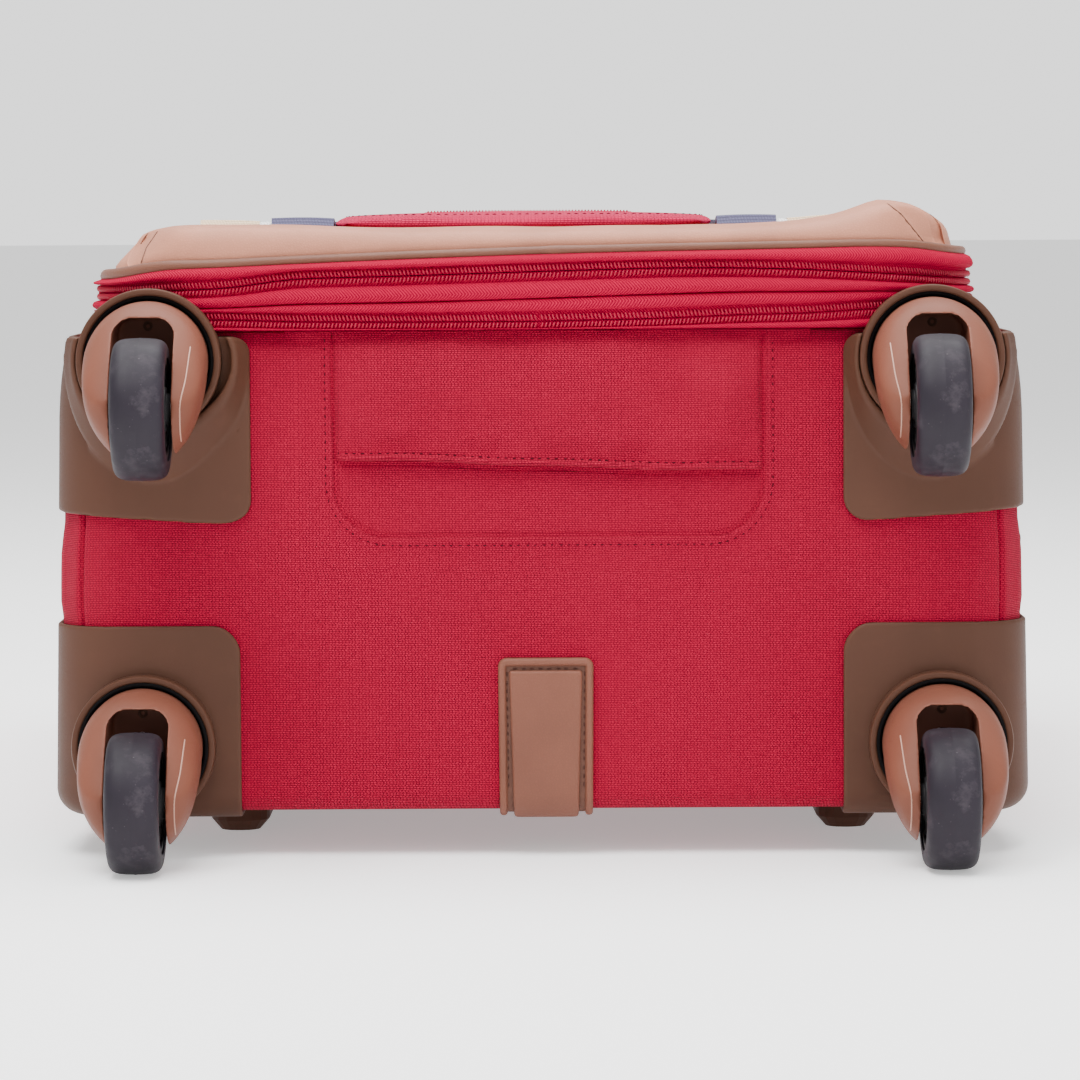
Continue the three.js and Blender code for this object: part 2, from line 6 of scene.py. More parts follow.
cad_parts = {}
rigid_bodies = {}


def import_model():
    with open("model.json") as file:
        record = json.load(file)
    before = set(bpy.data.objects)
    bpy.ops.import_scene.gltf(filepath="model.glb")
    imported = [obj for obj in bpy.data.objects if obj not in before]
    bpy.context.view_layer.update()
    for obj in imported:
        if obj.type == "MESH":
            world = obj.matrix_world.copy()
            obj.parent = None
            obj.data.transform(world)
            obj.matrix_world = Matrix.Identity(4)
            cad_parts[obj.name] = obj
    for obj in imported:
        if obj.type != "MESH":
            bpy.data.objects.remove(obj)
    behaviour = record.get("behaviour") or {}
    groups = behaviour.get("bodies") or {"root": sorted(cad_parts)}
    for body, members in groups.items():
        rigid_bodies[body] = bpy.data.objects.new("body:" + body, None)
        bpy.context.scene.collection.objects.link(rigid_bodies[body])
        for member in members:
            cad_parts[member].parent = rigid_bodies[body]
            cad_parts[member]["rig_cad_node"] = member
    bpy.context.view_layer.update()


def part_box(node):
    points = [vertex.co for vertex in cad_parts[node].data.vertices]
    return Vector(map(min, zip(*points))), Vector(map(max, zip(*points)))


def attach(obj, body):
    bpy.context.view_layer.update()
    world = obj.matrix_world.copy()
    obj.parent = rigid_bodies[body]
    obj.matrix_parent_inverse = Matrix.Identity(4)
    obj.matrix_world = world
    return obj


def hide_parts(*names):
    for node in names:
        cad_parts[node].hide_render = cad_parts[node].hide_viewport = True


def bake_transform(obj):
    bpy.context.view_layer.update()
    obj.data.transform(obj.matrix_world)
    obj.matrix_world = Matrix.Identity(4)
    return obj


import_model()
for default in ("Cube", "Light", "Camera"):
    if default in bpy.data.objects:
        bpy.data.objects.remove(bpy.data.objects[default])

# ---------------------------------------------------------------- frame
# Every length below is in millimetres from the middle of the fabric case, and W() puts it in the row frame.
_back, _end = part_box("back_panel"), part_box("bottom_panel")
OFFSET = np.array([(_back[0][0] + _back[1][0]) / 2, _end[0][1] + 0.208, 0.0])
TAU = 2 * math.pi
# the fabric case: half its width, its two ends and its corner radius, then the heights of its walls,
# how far they lean in, and the rounding of its back edge
CASE_HALF, CASE_NEAR, CASE_FAR, CASE_CORNER = 176.0, -208.0, 255.0, 22.0
BACK, FRONT, LEAN, FILLET = 16.5, 190.5, 3.0, 7.0
# the zipped front section, with rounder corners
LID_HALF, LID_NEAR, LID_FAR, LID_CORNER = 166.0, -211.5, 256.0, 45.0
# the casters: the plane that the forks turn on, and how far out and back each wheel sits from its pin
SEAT, DROP, TRAIL = -213.5, 36.5, 16.0
CASTERS = {"front_left": (-140.5, 180.7), "front_right": (140.5, 180.7),
           "rear_left": (-144.0, 41.3), "rear_right": (144.0, 41.3)}

EYE = (0.0, CASE_NEAR - 1670.0, 231.5)  # where the case is looked at from


def W(p):
    """Millimetres in the case's own frame to metres in the row frame."""
    return np.asarray(p, float) * 0.001 + OFFSET


def smooth(a, b, x):
    t = np.clip((np.asarray(x, float) - a) / (b - a), 0, 1)
    return t * t * (3 - 2 * t)


def bump(x, c, w):
    return np.exp(-((np.asarray(x, float) - c) / w) ** 2)


def wobble(P, size, seed=0.0):
    """Smooth noise, about -1 to 1, at points in millimetres."""
    flat = np.asarray(P, float).reshape(-1, 3) / size + seed
    return np.array([noise.noise(Vector(p)) for p in flat]).reshape(np.asarray(P).shape[:-1])


# ---------------------------------------------------------------- meshes
def piece(name, verts, faces, mat, body=None, uv=None, angle=40, at=None):
    """A mesh object from vertices in millimetres. at: an origin in millimetres, for shared meshes."""
    me = bpy.data.meshes.new(name)
    me.from_pydata((np.asarray(verts, float) * 0.001 + (0 if at is not None else OFFSET)).tolist(), [], faces)
    me.validate()
    if uv is not None:
        layer = me.uv_layers.new(name="cloth")
        idx = read(me.loops, "vertex_index", kind=np.int32)
        layer.data.foreach_set("uv", (np.asarray(uv, float)[idx] * 0.001).astype(np.float32).ravel())
    return place(name, me, mat, body, angle, at)


def place(name, me, mat, body=None, angle=40, at=None):
    for poly in me.polygons:
        poly.use_smooth = True
    if angle < 180:
        me.set_sharp_from_angle(angle=math.radians(angle))
    mats = mat if isinstance(mat, (list, tuple)) else [mat]
    if len(me.materials) == 0:
        for m in mats:
            me.materials.append(m)
    ob = bpy.data.objects.new(name, me)
    bpy.context.scene.collection.objects.link(ob)
    if at is not None:
        ob.location = W(at)
        bpy.context.view_layer.update()
    if body:
        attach(ob, body)
    return ob


def skin(nu, nv, close_u=False, close_v=False, flip=False, base=0):
    """Quads over a grid of nu rows of nv points."""
    i, j = np.meshgrid(np.arange(nu if close_u else nu - 1), np.arange(nv if close_v else nv - 1),
                       indexing="ij")
    a, b = i * nv + j, ((i + 1) % nu) * nv + j
    c, d = ((i + 1) % nu) * nv + (j + 1) % nv, i * nv + (j + 1) % nv
    q = np.stack([a, b, c, d] if not flip else [a, d, c, b], -1).reshape(-1, 4) + base
    return q.tolist()


def caps(nu, nv, base=0, flip=False):
    """Two end faces for a swept grid whose rings are its rows."""
    lo, hi = list(range(base, base + nv)), list(range(base + (nu - 1) * nv, base + nu * nv))
    return [lo if flip else lo[::-1], hi[::-1] if flip else hi]


def joined(parts):
    """Several (verts, faces) as one."""
    V, F, base = [], [], 0
    for v, f in parts:
        v = np.asarray(v, float).reshape(-1, 3)
        V.append(v)
        F += [[k + base for k in q] for q in f]
        base += len(v)
    return np.concatenate(V), F


def fix(ob, merge=0.00002):
    """Merges doubles and turns the faces outwards."""
    bm = bmesh.new()
    bm.from_mesh(ob.data)
    bmesh.ops.remove_doubles(bm, verts=bm.verts, dist=merge)
    bmesh.ops.dissolve_degenerate(bm, edges=bm.edges, dist=1e-6)
    bmesh.ops.recalc_face_normals(bm, faces=bm.faces)
    bm.to_mesh(ob.data)
    bm.free()
    return ob


def read(items, key, width=1, kind=np.float32):
    """One attribute of a mesh's vertices, faces or corners, as an array of rows."""
    out = np.empty(len(items) * width, kind)
    items.foreach_get(key, out)
    return out.reshape(-1, width) if width > 1 else out


def millimetres(me):
    return (read(me.vertices, "co", 3) - OFFSET) * 1000


def moved(me, points):
    """Writes new vertex places in metres."""
    me.vertices.foreach_set("co", np.asarray(points).astype(np.float32).ravel())
    me.update()


def box_uv(me):
    """Cloth coordinates in metres, projected along each face's main axis."""
    layer = me.uv_layers.get("cloth") or me.uv_layers.new(name="cloth")
    facing = np.abs(read(me.polygons, "normal", 3)).argmax(1)
    ax = np.repeat(facing, read(me.polygons, "loop_total", kind=np.int32))
    p = read(me.vertices, "co", 3)[read(me.loops, "vertex_index", kind=np.int32)]
    uv = np.where((ax == 0)[:, None], p[:, [1, 2]], np.where((ax == 1)[:, None], p[:, [0, 2]], p[:, [0, 1]]))
    layer.data.foreach_set("uv", uv.astype(np.float32).ravel())


def baked(ob):
    """Applies the modifiers."""
    bpy.context.view_layer.update()
    dg = bpy.context.evaluated_depsgraph_get()
    me = bpy.data.meshes.new_from_object(ob.evaluated_get(dg), depsgraph=dg)
    old = ob.data
    ob.modifiers.clear()
    ob.data = me
    me.name = old.name
    for poly in me.polygons:
        poly.use_smooth = True
    return ob


def mod(ob, kind, **settings):
    m = ob.modifiers.new(kind.title(), kind)
    for k, v in settings.items():
        setattr(m, k, v)
    return m


def scratch(name, V, F):
    """A working object in millimetres, centred on the origin of the case's frame."""
    me = bpy.data.meshes.new(name)
    me.from_pydata((np.asarray(V, float) * 0.001).tolist(), [], F)
    ob = bpy.data.objects.new(name, me)
    bpy.context.scene.collection.objects.link(ob)
    return fix(ob)


def cut(ob, how, tool):
    mod(ob, "BOOLEAN", operation=how, solver="EXACT", object=tool)
    baked(ob)
    bpy.data.objects.remove(tool)
    return ob


def loft(rings, ends=True):
    """A solid through rings of equally many points, with a fan at each end or closed by its end rings."""
    rings = np.asarray(rings, float)
    k, n = rings.shape[:2]
    if not ends:
        return rings.reshape(-1, 3), skin(k, n, close_v=True)
    V = np.concatenate([rings.reshape(-1, 3), rings[[0, -1]].mean(1)])
    F = skin(k, n, close_v=True)
    F += [[k * n, (i + 1) % n, i] for i in range(n)]
    F += [[k * n + 1, (k - 1) * n + i, (k - 1) * n + (i + 1) % n] for i in range(n)]
    return V, F


def rrect(x0, y0, x1, y1, r, n=8):
    """Points of a rounded rectangle. r: [lower right, upper right, upper left, lower left] or one radius."""
    r = list(r) if isinstance(r, (list, tuple)) else [r] * 4
    c = [(x1 - r[0], y0 + r[0]), (x1 - r[1], y1 - r[1]), (x0 + r[2], y1 - r[2]), (x0 + r[3], y0 + r[3])]
    out = []
    for k, (cx, cy) in enumerate(c):
        m = n if r[k] > 0 else 0
        for i in range(m + 1):
            a = (k - 1 + i / max(m, 1)) * math.pi / 2
            out.append((cx + r[k] * math.cos(a), cy + r[k] * math.sin(a)))
    return np.array(out)


def prism(axis, outline, lo, hi):
    """A prism: outline in (x, y) along z, in (x, z) along y, in (y, z) along x."""
    o = np.asarray(outline, float)
    rings = []
    for t in (lo, hi):
        c = np.full(len(o), t)
        rings.append(np.stack({"x": [c, o[:, 0], o[:, 1]], "y": [o[:, 0], c, o[:, 1]], "z": [o[:, 0], o[:, 1],
                c]}[axis], -1))
    V = np.concatenate(rings)
    return V, skin(2, len(o), close_v=True) + caps(2, len(o))


def turned(axis, profile, sides):
    """A closed profile of (along, radius) pairs turned about x or y."""
    pr = np.array(profile, float)
    a = np.arange(sides) / sides * TAU
    c, s = np.cos(a)[:, None], np.sin(a)[:, None]
    along = np.repeat(pr[None, :, 0], sides, 0)
    V = np.stack({"y": [pr[:, 1] * c, along, pr[:, 1] * s], "x": [along, pr[:, 1] * c, pr[:, 1] * s]}[axis],
                 -1)
    return V.reshape(-1, 3), skin(sides, len(pr), True, True)


class Loop:
    """A rounded rectangle's outline by arc length, from the middle of its wheel-end side towards +X."""

    def __init__(self, hx, y0, y1, r):
        self.hx, self.y0, self.y1, self.r = hx, y0, y1, r
        q, a, b = math.pi / 2 * r, hx - r, y1 - y0 - 2 * r
        self.parts = [("l", a, (0, y0), (1, 0)), ("a", q, (hx - r, y0 + r), -90), ("l", b, (hx, y0 + r),
                (0, 1)),
                      ("a", q, (hx - r, y1 - r), 0), ("l", 2 * a, (hx - r, y1), (-1, 0)),
                      ("a", q, (-hx + r, y1 - r), 90), ("l", b, (-hx, y1 - r), (0, -1)),
                      ("a", q, (-hx + r, y0 + r), 180), ("l", a, (-hx + r, y0), (1, 0))]
        self.ends = np.cumsum([p[1] for p in self.parts])
        self.length = self.ends[-1]

    def at(self, S):
        S = np.mod(np.asarray(S, float), self.length)
        P, N = np.zeros(S.shape + (2,)), np.zeros(S.shape + (2,))
        start = 0.0
        for (kind, ln, c, d), end in zip(self.parts, self.ends):
            m = (S >= start - 1e-9) & (S <= end + 1e-9)
            t = S[m] - start
            if kind == "l":
                P[m] = np.array(c) + t[:, None] * np.array(d)
                N[m] = (d[1], -d[0])
            else:
                a = np.radians(d) + t / self.r
                n = np.stack([np.cos(a), np.sin(a)], -1)
                P[m], N[m] = np.array(c) + self.r * n, n
            start = end
        return P, N

    def s_of(self, x=None, y=None, side="bottom"):
        a, q, b = self.hx - self.r, math.pi / 2 * self.r, self.y1 - self.y0 - 2 * self.r
        if side == "bottom":
            return x if x >= 0 else self.length + x
        if side == "right":
            return a + q + (y - self.y0 - self.r)
        if side == "left":
            return self.length - a - q - (y - self.y0 - self.r)
        return a + q + b + q + (a - x)


CASE, FACE = Loop(CASE_HALF, CASE_NEAR, CASE_FAR, CASE_CORNER), Loop(LID_HALF, LID_NEAR, LID_FAR, LID_CORNER)


def sweep(loop, S, prof):
    """Sweeps (offset, z) points round a loop. prof is (m, 2), or (len(S), m, 2)."""
    P, N = loop.at(S)
    prof = np.asarray(prof, float)
    if prof.ndim == 2:
        prof = np.repeat(prof[None], len(S), 0)
    xy = P[:, None] + N[:, None] * prof[..., :1]
    return np.concatenate([xy, prof[..., 1:]], -1)


def steps(loop, a, b, h=6.0, fine=2.5):
    """Arc lengths from a to b, closer together in the corners."""
    L = loop.length
    if b <= a:
        b += L
    out, s = [a], a
    q = math.pi / 2 * loop.r
    arcs = [(loop.ends[i] - q, loop.ends[i]) for i in (1, 3, 5, 7)]
    while s < b - 1e-6:
        m = s % L
        near = any(lo - 3 <= m <= hi + 1 for lo, hi in arcs)
        s = min(b, s + (fine if near else h))
        out.append(s)
    return np.array(out)


# ---------------------------------------------------------------- materials
class Nodes:
    """Builds one material's nodes."""

    def __init__(self, name, **shader):
        self.mat = bpy.data.materials.new(name)
        self.mat.use_nodes = True
        self.t = self.mat.node_tree
        self.bsdf = self.t.nodes["Principled BSDF"]
        for key, value in shader.items():
            self.bsdf.inputs[key.replace("_", " ")].default_value = value

    def add(self, kind, inputs=None, **props):
        n = self.t.nodes.new(kind)
        for k, v in props.items():
            setattr(n, k, v)
        for k, v in (inputs or {}).items():
            if isinstance(v, bpy.types.NodeSocket):
                self.t.links.new(v, n.inputs[k])
            else:
                n.inputs[k].default_value = v
        return n

    def math(self, op, a, b=0.0, clamp=False):
        return self.add("ShaderNodeMath", {0: a, 1: b}, operation=op, use_clamp=clamp).outputs[0]

    def mix(self, fac, a, b, how="MIX"):
        n = self.add("ShaderNodeMix", {"Factor": fac}, data_type="RGBA", blend_type=how)
        for k, v in ((6, a), (7, b)):
            if isinstance(v, bpy.types.NodeSocket):
                self.t.links.new(v, n.inputs[k])
            else:
                n.inputs[k].default_value = (*v, 1) if len(v) == 3 else v
        return n.outputs[2]

    def remap(self, v, a, b, c, d):
        return self.add("ShaderNodeMapRange", {0: v, 1: a, 2: b, 3: c, 4: d}).outputs[0]

    def noise(self, scale, detail=3.0, rough=0.55, vector=None, distortion=0.0):
        i = {"Scale": scale, "Detail": detail, "Roughness": rough, "Distortion": distortion}
        if vector is not None:
            i["Vector"] = vector
        return self.add("ShaderNodeTexNoise", i).outputs["Fac"]

    def coords(self, kind="Object"):
        return self.add("ShaderNodeTexCoord").outputs[kind]

    def uv(self):
        return self.add("ShaderNodeUVMap", uv_map="cloth").outputs[0]

    def mapped(self, vector, scale):
        return self.add("ShaderNodeMapping", {"Vector": vector, "Scale": scale}).outputs[0]

    def finish(self, colour=None, rough=None, height=None, depth=0.0003, strength=0.5, metal=None):
        if colour is not None:
            self.t.links.new(colour, self.bsdf.inputs["Base Color"])
        if rough is not None:
            self.t.links.new(rough, self.bsdf.inputs["Roughness"])
        if metal is not None:
            self.t.links.new(metal, self.bsdf.inputs["Metallic"])
        if height is not None:
            b = self.add("ShaderNodeBump", {"Strength": strength, "Distance": depth, "Height": height})
            self.t.links.new(b.outputs[0], self.bsdf.inputs["Normal"])
        return self.mat


def shade(rgb, k):
    return tuple(min(1.0, c * k) for c in rgb)


def cloth(name, rgb, width=1.15, row=0.62, sheen=0.25, tint=(1, 0.6, 0.65), bright=1.25, dark=0.55,
          depth=0.00035,
          rough=0.78):
    """Woven cloth: short floats laid in rows, each row shifted, so that a fine twill line runs across."""
    n = Nodes(name, Sheen_Weight=sheen, Sheen_Roughness=0.45, Sheen_Tint=(*tint, 1), Specular_IOR_Level=0.09)
    uv = n.uv()
    drift = n.noise(260, 2, 0.5, uv)
    warp = n.add("ShaderNodeVectorMath", {0: uv, 1: n.add("ShaderNodeCombineXYZ",
                                                          {0: n.math("MULTIPLY", drift, 0.0004),
                                                           1: n.math("MULTIPLY", n.noise(140, 2, 0.5, uv),
            0.0003)}).outputs[0]}, operation="ADD").outputs[0]
    brick = n.add("ShaderNodeTexBrick", {"Vector": warp, "Color1": (1, 1, 1, 1), "Color2": (0.8, 0.8, 0.8, 1),
                                         "Mortar": (0, 0, 0, 1),
                                         "Scale": 1.0, "Mortar Size": 0.00021, "Mortar Smooth": 1.0,
                                         "Bias": 0.0,
                                         "Brick Width": width * 0.001, "Row Height": row * 0.001},
                  offset=0.34, offset_frequency=3)
    weave = n.add("ShaderNodeSeparateColor", {0: brick.outputs["Color"]}).outputs[0]
    fibre = n.noise(2600, 2, 0.6, uv)
    broad = n.noise(14, 3, 0.5, n.coords())
    tone = n.mix(weave, shade(rgb, dark), shade(rgb, bright))
    tone = n.mix(n.remap(fibre, 0.3, 0.7, 0.0, 0.35), tone, shade(rgb, 0.7))
    tone = n.mix(n.remap(broad, 0.35, 0.65, 0.0, 0.22), tone, shade(rgb, 1.35))
    high = n.math("ADD", n.math("MULTIPLY", weave, 0.8), n.math("MULTIPLY", fibre, 0.25))
    return n.finish(tone, n.remap(fibre, 0.2, 0.8, rough - 0.08, rough + 0.12), high, depth, 0.7)


def herringbone(name, rgb, pitch=0.9, depth=0.00025):
    """Zip tape: fine slanted ribs. u runs along the tape and v across it."""
    n = Nodes(name, Specular_IOR_Level=0.03)
    uv = n.add("ShaderNodeSeparateXYZ", {0: n.uv()})
    fold = n.math("PINGPONG", uv.outputs[1], 0.0032)
    line = n.math("ADD", uv.outputs[0], n.math("MULTIPLY", fold, 1.15))
    rib = n.math("PINGPONG", n.math("DIVIDE", line, pitch * 0.001), 0.5)
    rib = n.remap(rib, 0.05, 0.42, 0.0, 1.0)
    fibre = n.noise(2400, 2, 0.6, n.uv())
    tone = n.mix(rib, shade(rgb, 0.42), shade(rgb, 1.2))
    tone = n.mix(n.remap(fibre, 0.35, 0.7, 0, 0.25), tone, shade(rgb, 0.75))
    high = n.math("ADD", rib, n.math("MULTIPLY", fibre, 0.2))
    return n.finish(tone, n.remap(fibre, 0.2, 0.8, 0.62, 0.82), high, depth, 0.6)


def leather(name, rgb, grain=900, rough=0.55, depth=0.00018, sheen=0.0, light=1.18):
    n = Nodes(name, Specular_IOR_Level=0.22, Sheen_Weight=sheen, Coat_Weight=0.02, Coat_Roughness=0.45)
    co = n.coords()
    cells = n.add("ShaderNodeTexVoronoi", {"Vector": co, "Scale": grain, "Randomness": 0.95},
                  feature="DISTANCE_TO_EDGE").outputs[0]
    cells = n.remap(cells, 0.0, 0.28, 0.0, 1.0)
    fine = n.noise(1800, 3, 0.6, co)
    broad = n.noise(28, 4, 0.55, co)
    edge = n.add("ShaderNodeNewGeometry").outputs["Pointiness"]
    tone = n.mix(n.remap(broad, 0.35, 0.68, 0, 1), shade(rgb, 0.9), shade(rgb, 1.1))
    tone = n.mix(n.math("MULTIPLY", n.math("SUBTRACT", 1.0, cells), 0.22), tone, shade(rgb, 0.62))
    tone = n.mix(n.remap(edge, 0.52, 0.6, 0.0, 0.45), tone, shade(rgb, light * 1.2))
    high = n.math("ADD", n.math("MULTIPLY", cells, 0.6), n.math("MULTIPLY", fine, 0.4))
    return n.finish(tone, n.remap(fine, 0.25, 0.75, rough - 0.07, rough + 0.12), high, depth, 0.35)


def plastic(name, rgb, rough=0.42, grain=1500, depth=0.00006, wear=1.35, spec=0.45, dust=0.25):
    """Satin moulded plastic with a fine spark-eroded grain, paler edges and a little dust."""
    n = Nodes(name, Specular_IOR_Level=spec)
    co = n.coords()
    fine = n.noise(grain, 2, 0.6, co)
    mid = n.noise(95, 4, 0.6, co)
    broad = n.noise(17, 3, 0.5, co)
    edge = n.add("ShaderNodeNewGeometry").outputs["Pointiness"]
    tone = n.mix(n.remap(broad, 0.35, 0.65, 0, 1), shade(rgb, 0.92), shade(rgb, 1.08))
    tone = n.mix(n.remap(edge, 0.515, 0.57, 0.0, 0.55), tone, shade(rgb, wear))
    tone = n.mix(n.remap(mid, 0.58, 0.78, 0.0, dust), tone, shade(rgb, 1.5))
    scuff = n.noise(60, 5, 0.7, n.mapped(co, scale=(1, 1, 7)), 1.2)
    r = n.math("ADD", n.remap(fine, 0.2, 0.8, rough - 0.06, rough + 0.08), n.remap(scuff, 0.6, 0.8, 0.0,
            0.18))
    return n.finish(tone, r, n.math("ADD", fine, n.math("MULTIPLY", mid, 0.3)), depth, 0.5)


def rubber(name, rgb):
    n = Nodes(name, Specular_IOR_Level=0.16)
    co = n.coords()
    fine = n.noise(900, 3, 0.65, co)
    dust = n.noise(75, 6, 0.7, co)
    patch = n.noise(24, 3, 0.6, co)
    turn = n.noise(420, 2, 0.5, n.mapped(co, scale=(1, 0.06, 0.06)))
    tone = n.mix(n.remap(patch, 0.35, 0.7, 0, 1), shade(rgb, 0.72), shade(rgb, 1.2))
    tone = n.mix(n.remap(dust, 0.52, 0.76, 0.0, 0.6), tone, (0.075, 0.064, 0.073))
    tone = n.mix(n.remap(fine, 0.68, 0.8, 0.0, 0.55), tone, (0.13, 0.115, 0.125))
    high = n.math("ADD", n.math("MULTIPLY", fine, 0.5), n.math("MULTIPLY", turn, 0.5))
    return n.finish(tone, n.remap(dust, 0.3, 0.7, 0.42, 0.72), high, 0.00012, 0.5)


def metal(name, rgb, rough=0.3, along=(60, 1.2, 60), depth=0.00002):
    n = Nodes(name, Metallic=1.0, Specular_IOR_Level=0.5)
    co = n.coords()
    brush = n.noise(24, 4, 0.6, n.mapped(co, scale=along))
    spots = n.noise(140, 4, 0.6, co)
    tone = n.mix(n.remap(brush, 0.3, 0.7, 0, 1), shade(rgb, 0.86), shade(rgb, 1.1))
    return n.finish(tone, n.math("ADD", n.remap(brush, 0.25, 0.75, rough - 0.08, rough + 0.1), n.remap(spots,
            0.6, 0.8, 0, 0.12)),
                    brush, depth, 0.4)


def ribbed(name, rgb, pitch=0.75, depth=0.0003, sheen=0.05):
    """Webbing: ribs across the strap (v) and fine stitches of yarn along it (u)."""
    n = Nodes(name, Sheen_Weight=sheen, Sheen_Roughness=0.5, Specular_IOR_Level=0.25)
    uv = n.add("ShaderNodeSeparateXYZ", {0: n.uv()})
    a = n.math("PINGPONG", n.math("DIVIDE", uv.outputs[0], pitch * 0.001), 0.5)
    b = n.math("PINGPONG", n.math("DIVIDE", n.math("ADD", uv.outputs[1], n.math("MULTIPLY", uv.outputs[0],
            0.5)), 0.0011), 0.5)
    yarn = n.math("MULTIPLY", n.remap(a, 0.02, 0.4, 0.25, 1.0), n.remap(b, 0.02, 0.4, 0.45, 1.0))
    fibre = n.noise(2200, 2, 0.6, n.uv())
    tone = n.mix(yarn, shade(rgb, 0.55), shade(rgb, 1.15))
    tone = n.mix(n.remap(fibre, 0.4, 0.75, 0, 0.3), tone, shade(rgb, 1.5))
    return n.finish(tone, n.remap(fibre, 0.2, 0.8, 0.7, 0.92), n.math("ADD", yarn, n.math("MULTIPLY", fibre,
            0.25)), depth, 0.6)


def srgb(r, g, b):
    f = lambda c: (c / 255 / 12.92) if c / 255 <= 0.04045 else ((c / 255 + 0.055) / 1.055) ** 2.4
    return (f(r), f(g), f(b))


RED = cloth("red_polyester", (0.275, 0.0010, 0.022), width=1.2, row=0.66, sheen=0.03, dark=0.2, bright=1.75,
            depth=0.0011)
# the lid's and pouch's red cloth, painted paler and pinker than RED: painted light from above on the same
# cloth
RED_LID_LIT = cloth("red_polyester_front", (0.42, 0.008, 0.055), width=1.35, row=0.74, sheen=0.06, dark=0.4,
                bright=1.4, depth=0.0005)
TAPE = herringbone("red_zip_tape", (0.40, 0.0008, 0.034), 1.15, 0.0004)
COIL = plastic("red_zip_coil", (0.27, 0.0008, 0.020), 0.36, 2600, 0.00002, 1.1, 0.26, 0.0)
THREAD = cloth("dark_red_thread", (0.075, 0.0015, 0.009), width=0.5, row=0.2, sheen=0.05, depth=0.0001)
# the boot is the same tan leatherette as TAN, painted about three times paler: painted light from above
BOOT_LIT = leather("tan_leatherette_boot", (0.43, 0.178, 0.112), 1000, 0.5)
TAN = leather("tan_leatherette", (0.150, 0.054, 0.033), 1000, 0.52)
# darker rough leather for the tab's groove, also used for the painted shadow lines along the boot's folds
TAN_GROOVE_AND_FOLD_SHADOW = leather("tan_leatherette_groove", (0.10, 0.042, 0.028), 420, 0.7, 0.0004)
PIPE = leather("tan_piping", (0.135, 0.052, 0.032), 1300, 0.42)
GUARD = plastic("brown_moulding", (0.062, 0.0260, 0.0155), 0.5, spec=0.13)
HOOD = plastic("tan_moulding", (0.145, 0.050, 0.031), 0.5, wear=1.3, spec=0.14)
# pale tan for the bead along each hood's mould line: a painted highlight on the ridge
MOULD_LINE_HIGHLIGHT = plastic("tan_mould_line", (0.36, 0.20, 0.15), 0.45, spec=0.3)
RUBBER = rubber("grey_rubber", (0.0150, 0.0118, 0.0172))
BLACK = plastic("black_moulding", (0.012, 0.011, 0.012), 0.45, 900, 0.00008, 2.5, 0.2)
# near-black: a painted shadow for the gap inside each caster collar
SHADOW = plastic("dark_gap", (0.004, 0.0035, 0.004), 0.8, 900, 0.00002, 1.0, 0.1, 0.0)
NAVY = ribbed("navy_webbing", (0.085, 0.083, 0.150))
NAVY_THREAD = cloth("navy_thread", (0.03, 0.03, 0.06), width=0.5, row=0.2, sheen=0.05, depth=0.0001)
CREAM = ribbed("cream_webbing", (0.66, 0.50, 0.33))
WHITE = ribbed("white_webbing", (0.75, 0.74, 0.74))
LINING = cloth("taupe_lining", (0.10, 0.075, 0.06), width=0.7, row=0.35, sheen=0.35, tint=(1, 0.95, 0.9),
               depth=0.00015, rough=0.6)
NET = cloth("dark_net", (0.022, 0.018, 0.016), width=1.8, row=1.2, sheen=0.1, tint=(1, 1, 1), dark=0.25,
            depth=0.0005)
BLACK_WEB = ribbed("dark_webbing", (0.030, 0.027, 0.026))
STEEL = metal("plated_steel", (0.56, 0.55, 0.54), 0.25, (20, 20, 20))
NICKEL = metal("dark_nickel", (0.24, 0.22, 0.20), 0.32, (30, 30, 30))
ALU = metal("brushed_aluminium", (0.62, 0.62, 0.63), 0.32)


# ---------------------------------------------------------------- the fabric case
def frac(loop, T):
    """Arc lengths at part numbers plus fractions, so that two loops can be matched part by part."""
    T = np.mod(T, len(loop.parts))
    k = np.minimum(T.astype(int), len(loop.parts) - 1)
    starts = np.concatenate([[0], loop.ends[:-1]])
    lens = np.array([p[1] for p in loop.parts])
    return starts[k] + (T - k) * lens[k]


def parts_of(loop, S):
    S = np.mod(S, loop.length)
    k = np.minimum(np.searchsorted(loop.ends, S, side="right"), len(loop.parts) - 1)
    starts = np.concatenate([[0], loop.ends[:-1]])
    lens = np.array([p[1] for p in loop.parts])
    return k + (S - starts[k]) / lens[k]


def leaned(P, z):
    """The side walls lean in a little towards the front."""
    P = P.copy()
    z = np.asarray(z, float)
    P[:, 0] *= 1 - (LEAN / CASE_HALF) * np.clip((z - BACK - FILLET) / (FRONT - BACK - FILLET), 0,
                                                1.2) - (3.6 / CASE_HALF) * np.clip((z - 158) / (FRONT - 158),
            0, 1.1) ** 2.2
    return P


START = CASE.s_of(0, side="top")
SEAM_ARC = 14.5  # a side seam's distance round the corner from its wheel-end side
_c = CASE.hx - CASE.r
SEAMS = [_c + SEAM_ARC, CASE.length - _c - SEAM_ARC,
         CASE.s_of(_c, side="top") - SEAM_ARC, CASE.s_of(-_c, side="top") + SEAM_ARC]
S_BODY = steps(CASE, START, START + CASE.length, 5.0, 2.0)[:-1]
_extra = np.concatenate([[s + d for d in (-4, -2.2, -1.3, -0.7, 0, 0.7, 1.3, 2.2, 4)] for s in SEAMS])
_extra = np.where(_extra < START, _extra + CASE.length, _extra)
S_BODY = np.sort(np.concatenate([S_BODY, _extra]))
S_BODY = S_BODY[np.concatenate([[True], np.diff(S_BODY) > 0.45])]
T_BODY = parts_of(CASE, S_BODY)
S_MATCH = frac(FACE, T_BODY)


def case_ring(off, z):
    P, N = CASE.at(S_BODY)
    Q = leaned(P + N * np.asarray(off)[..., None] if np.ndim(off) else P + N * off, z)
    return np.column_stack([Q, np.full(len(Q), z)])


def face_ring(off, z):
    P, N = FACE.at(S_MATCH)
    return np.column_stack([P + N * off, np.full(len(P), z)])


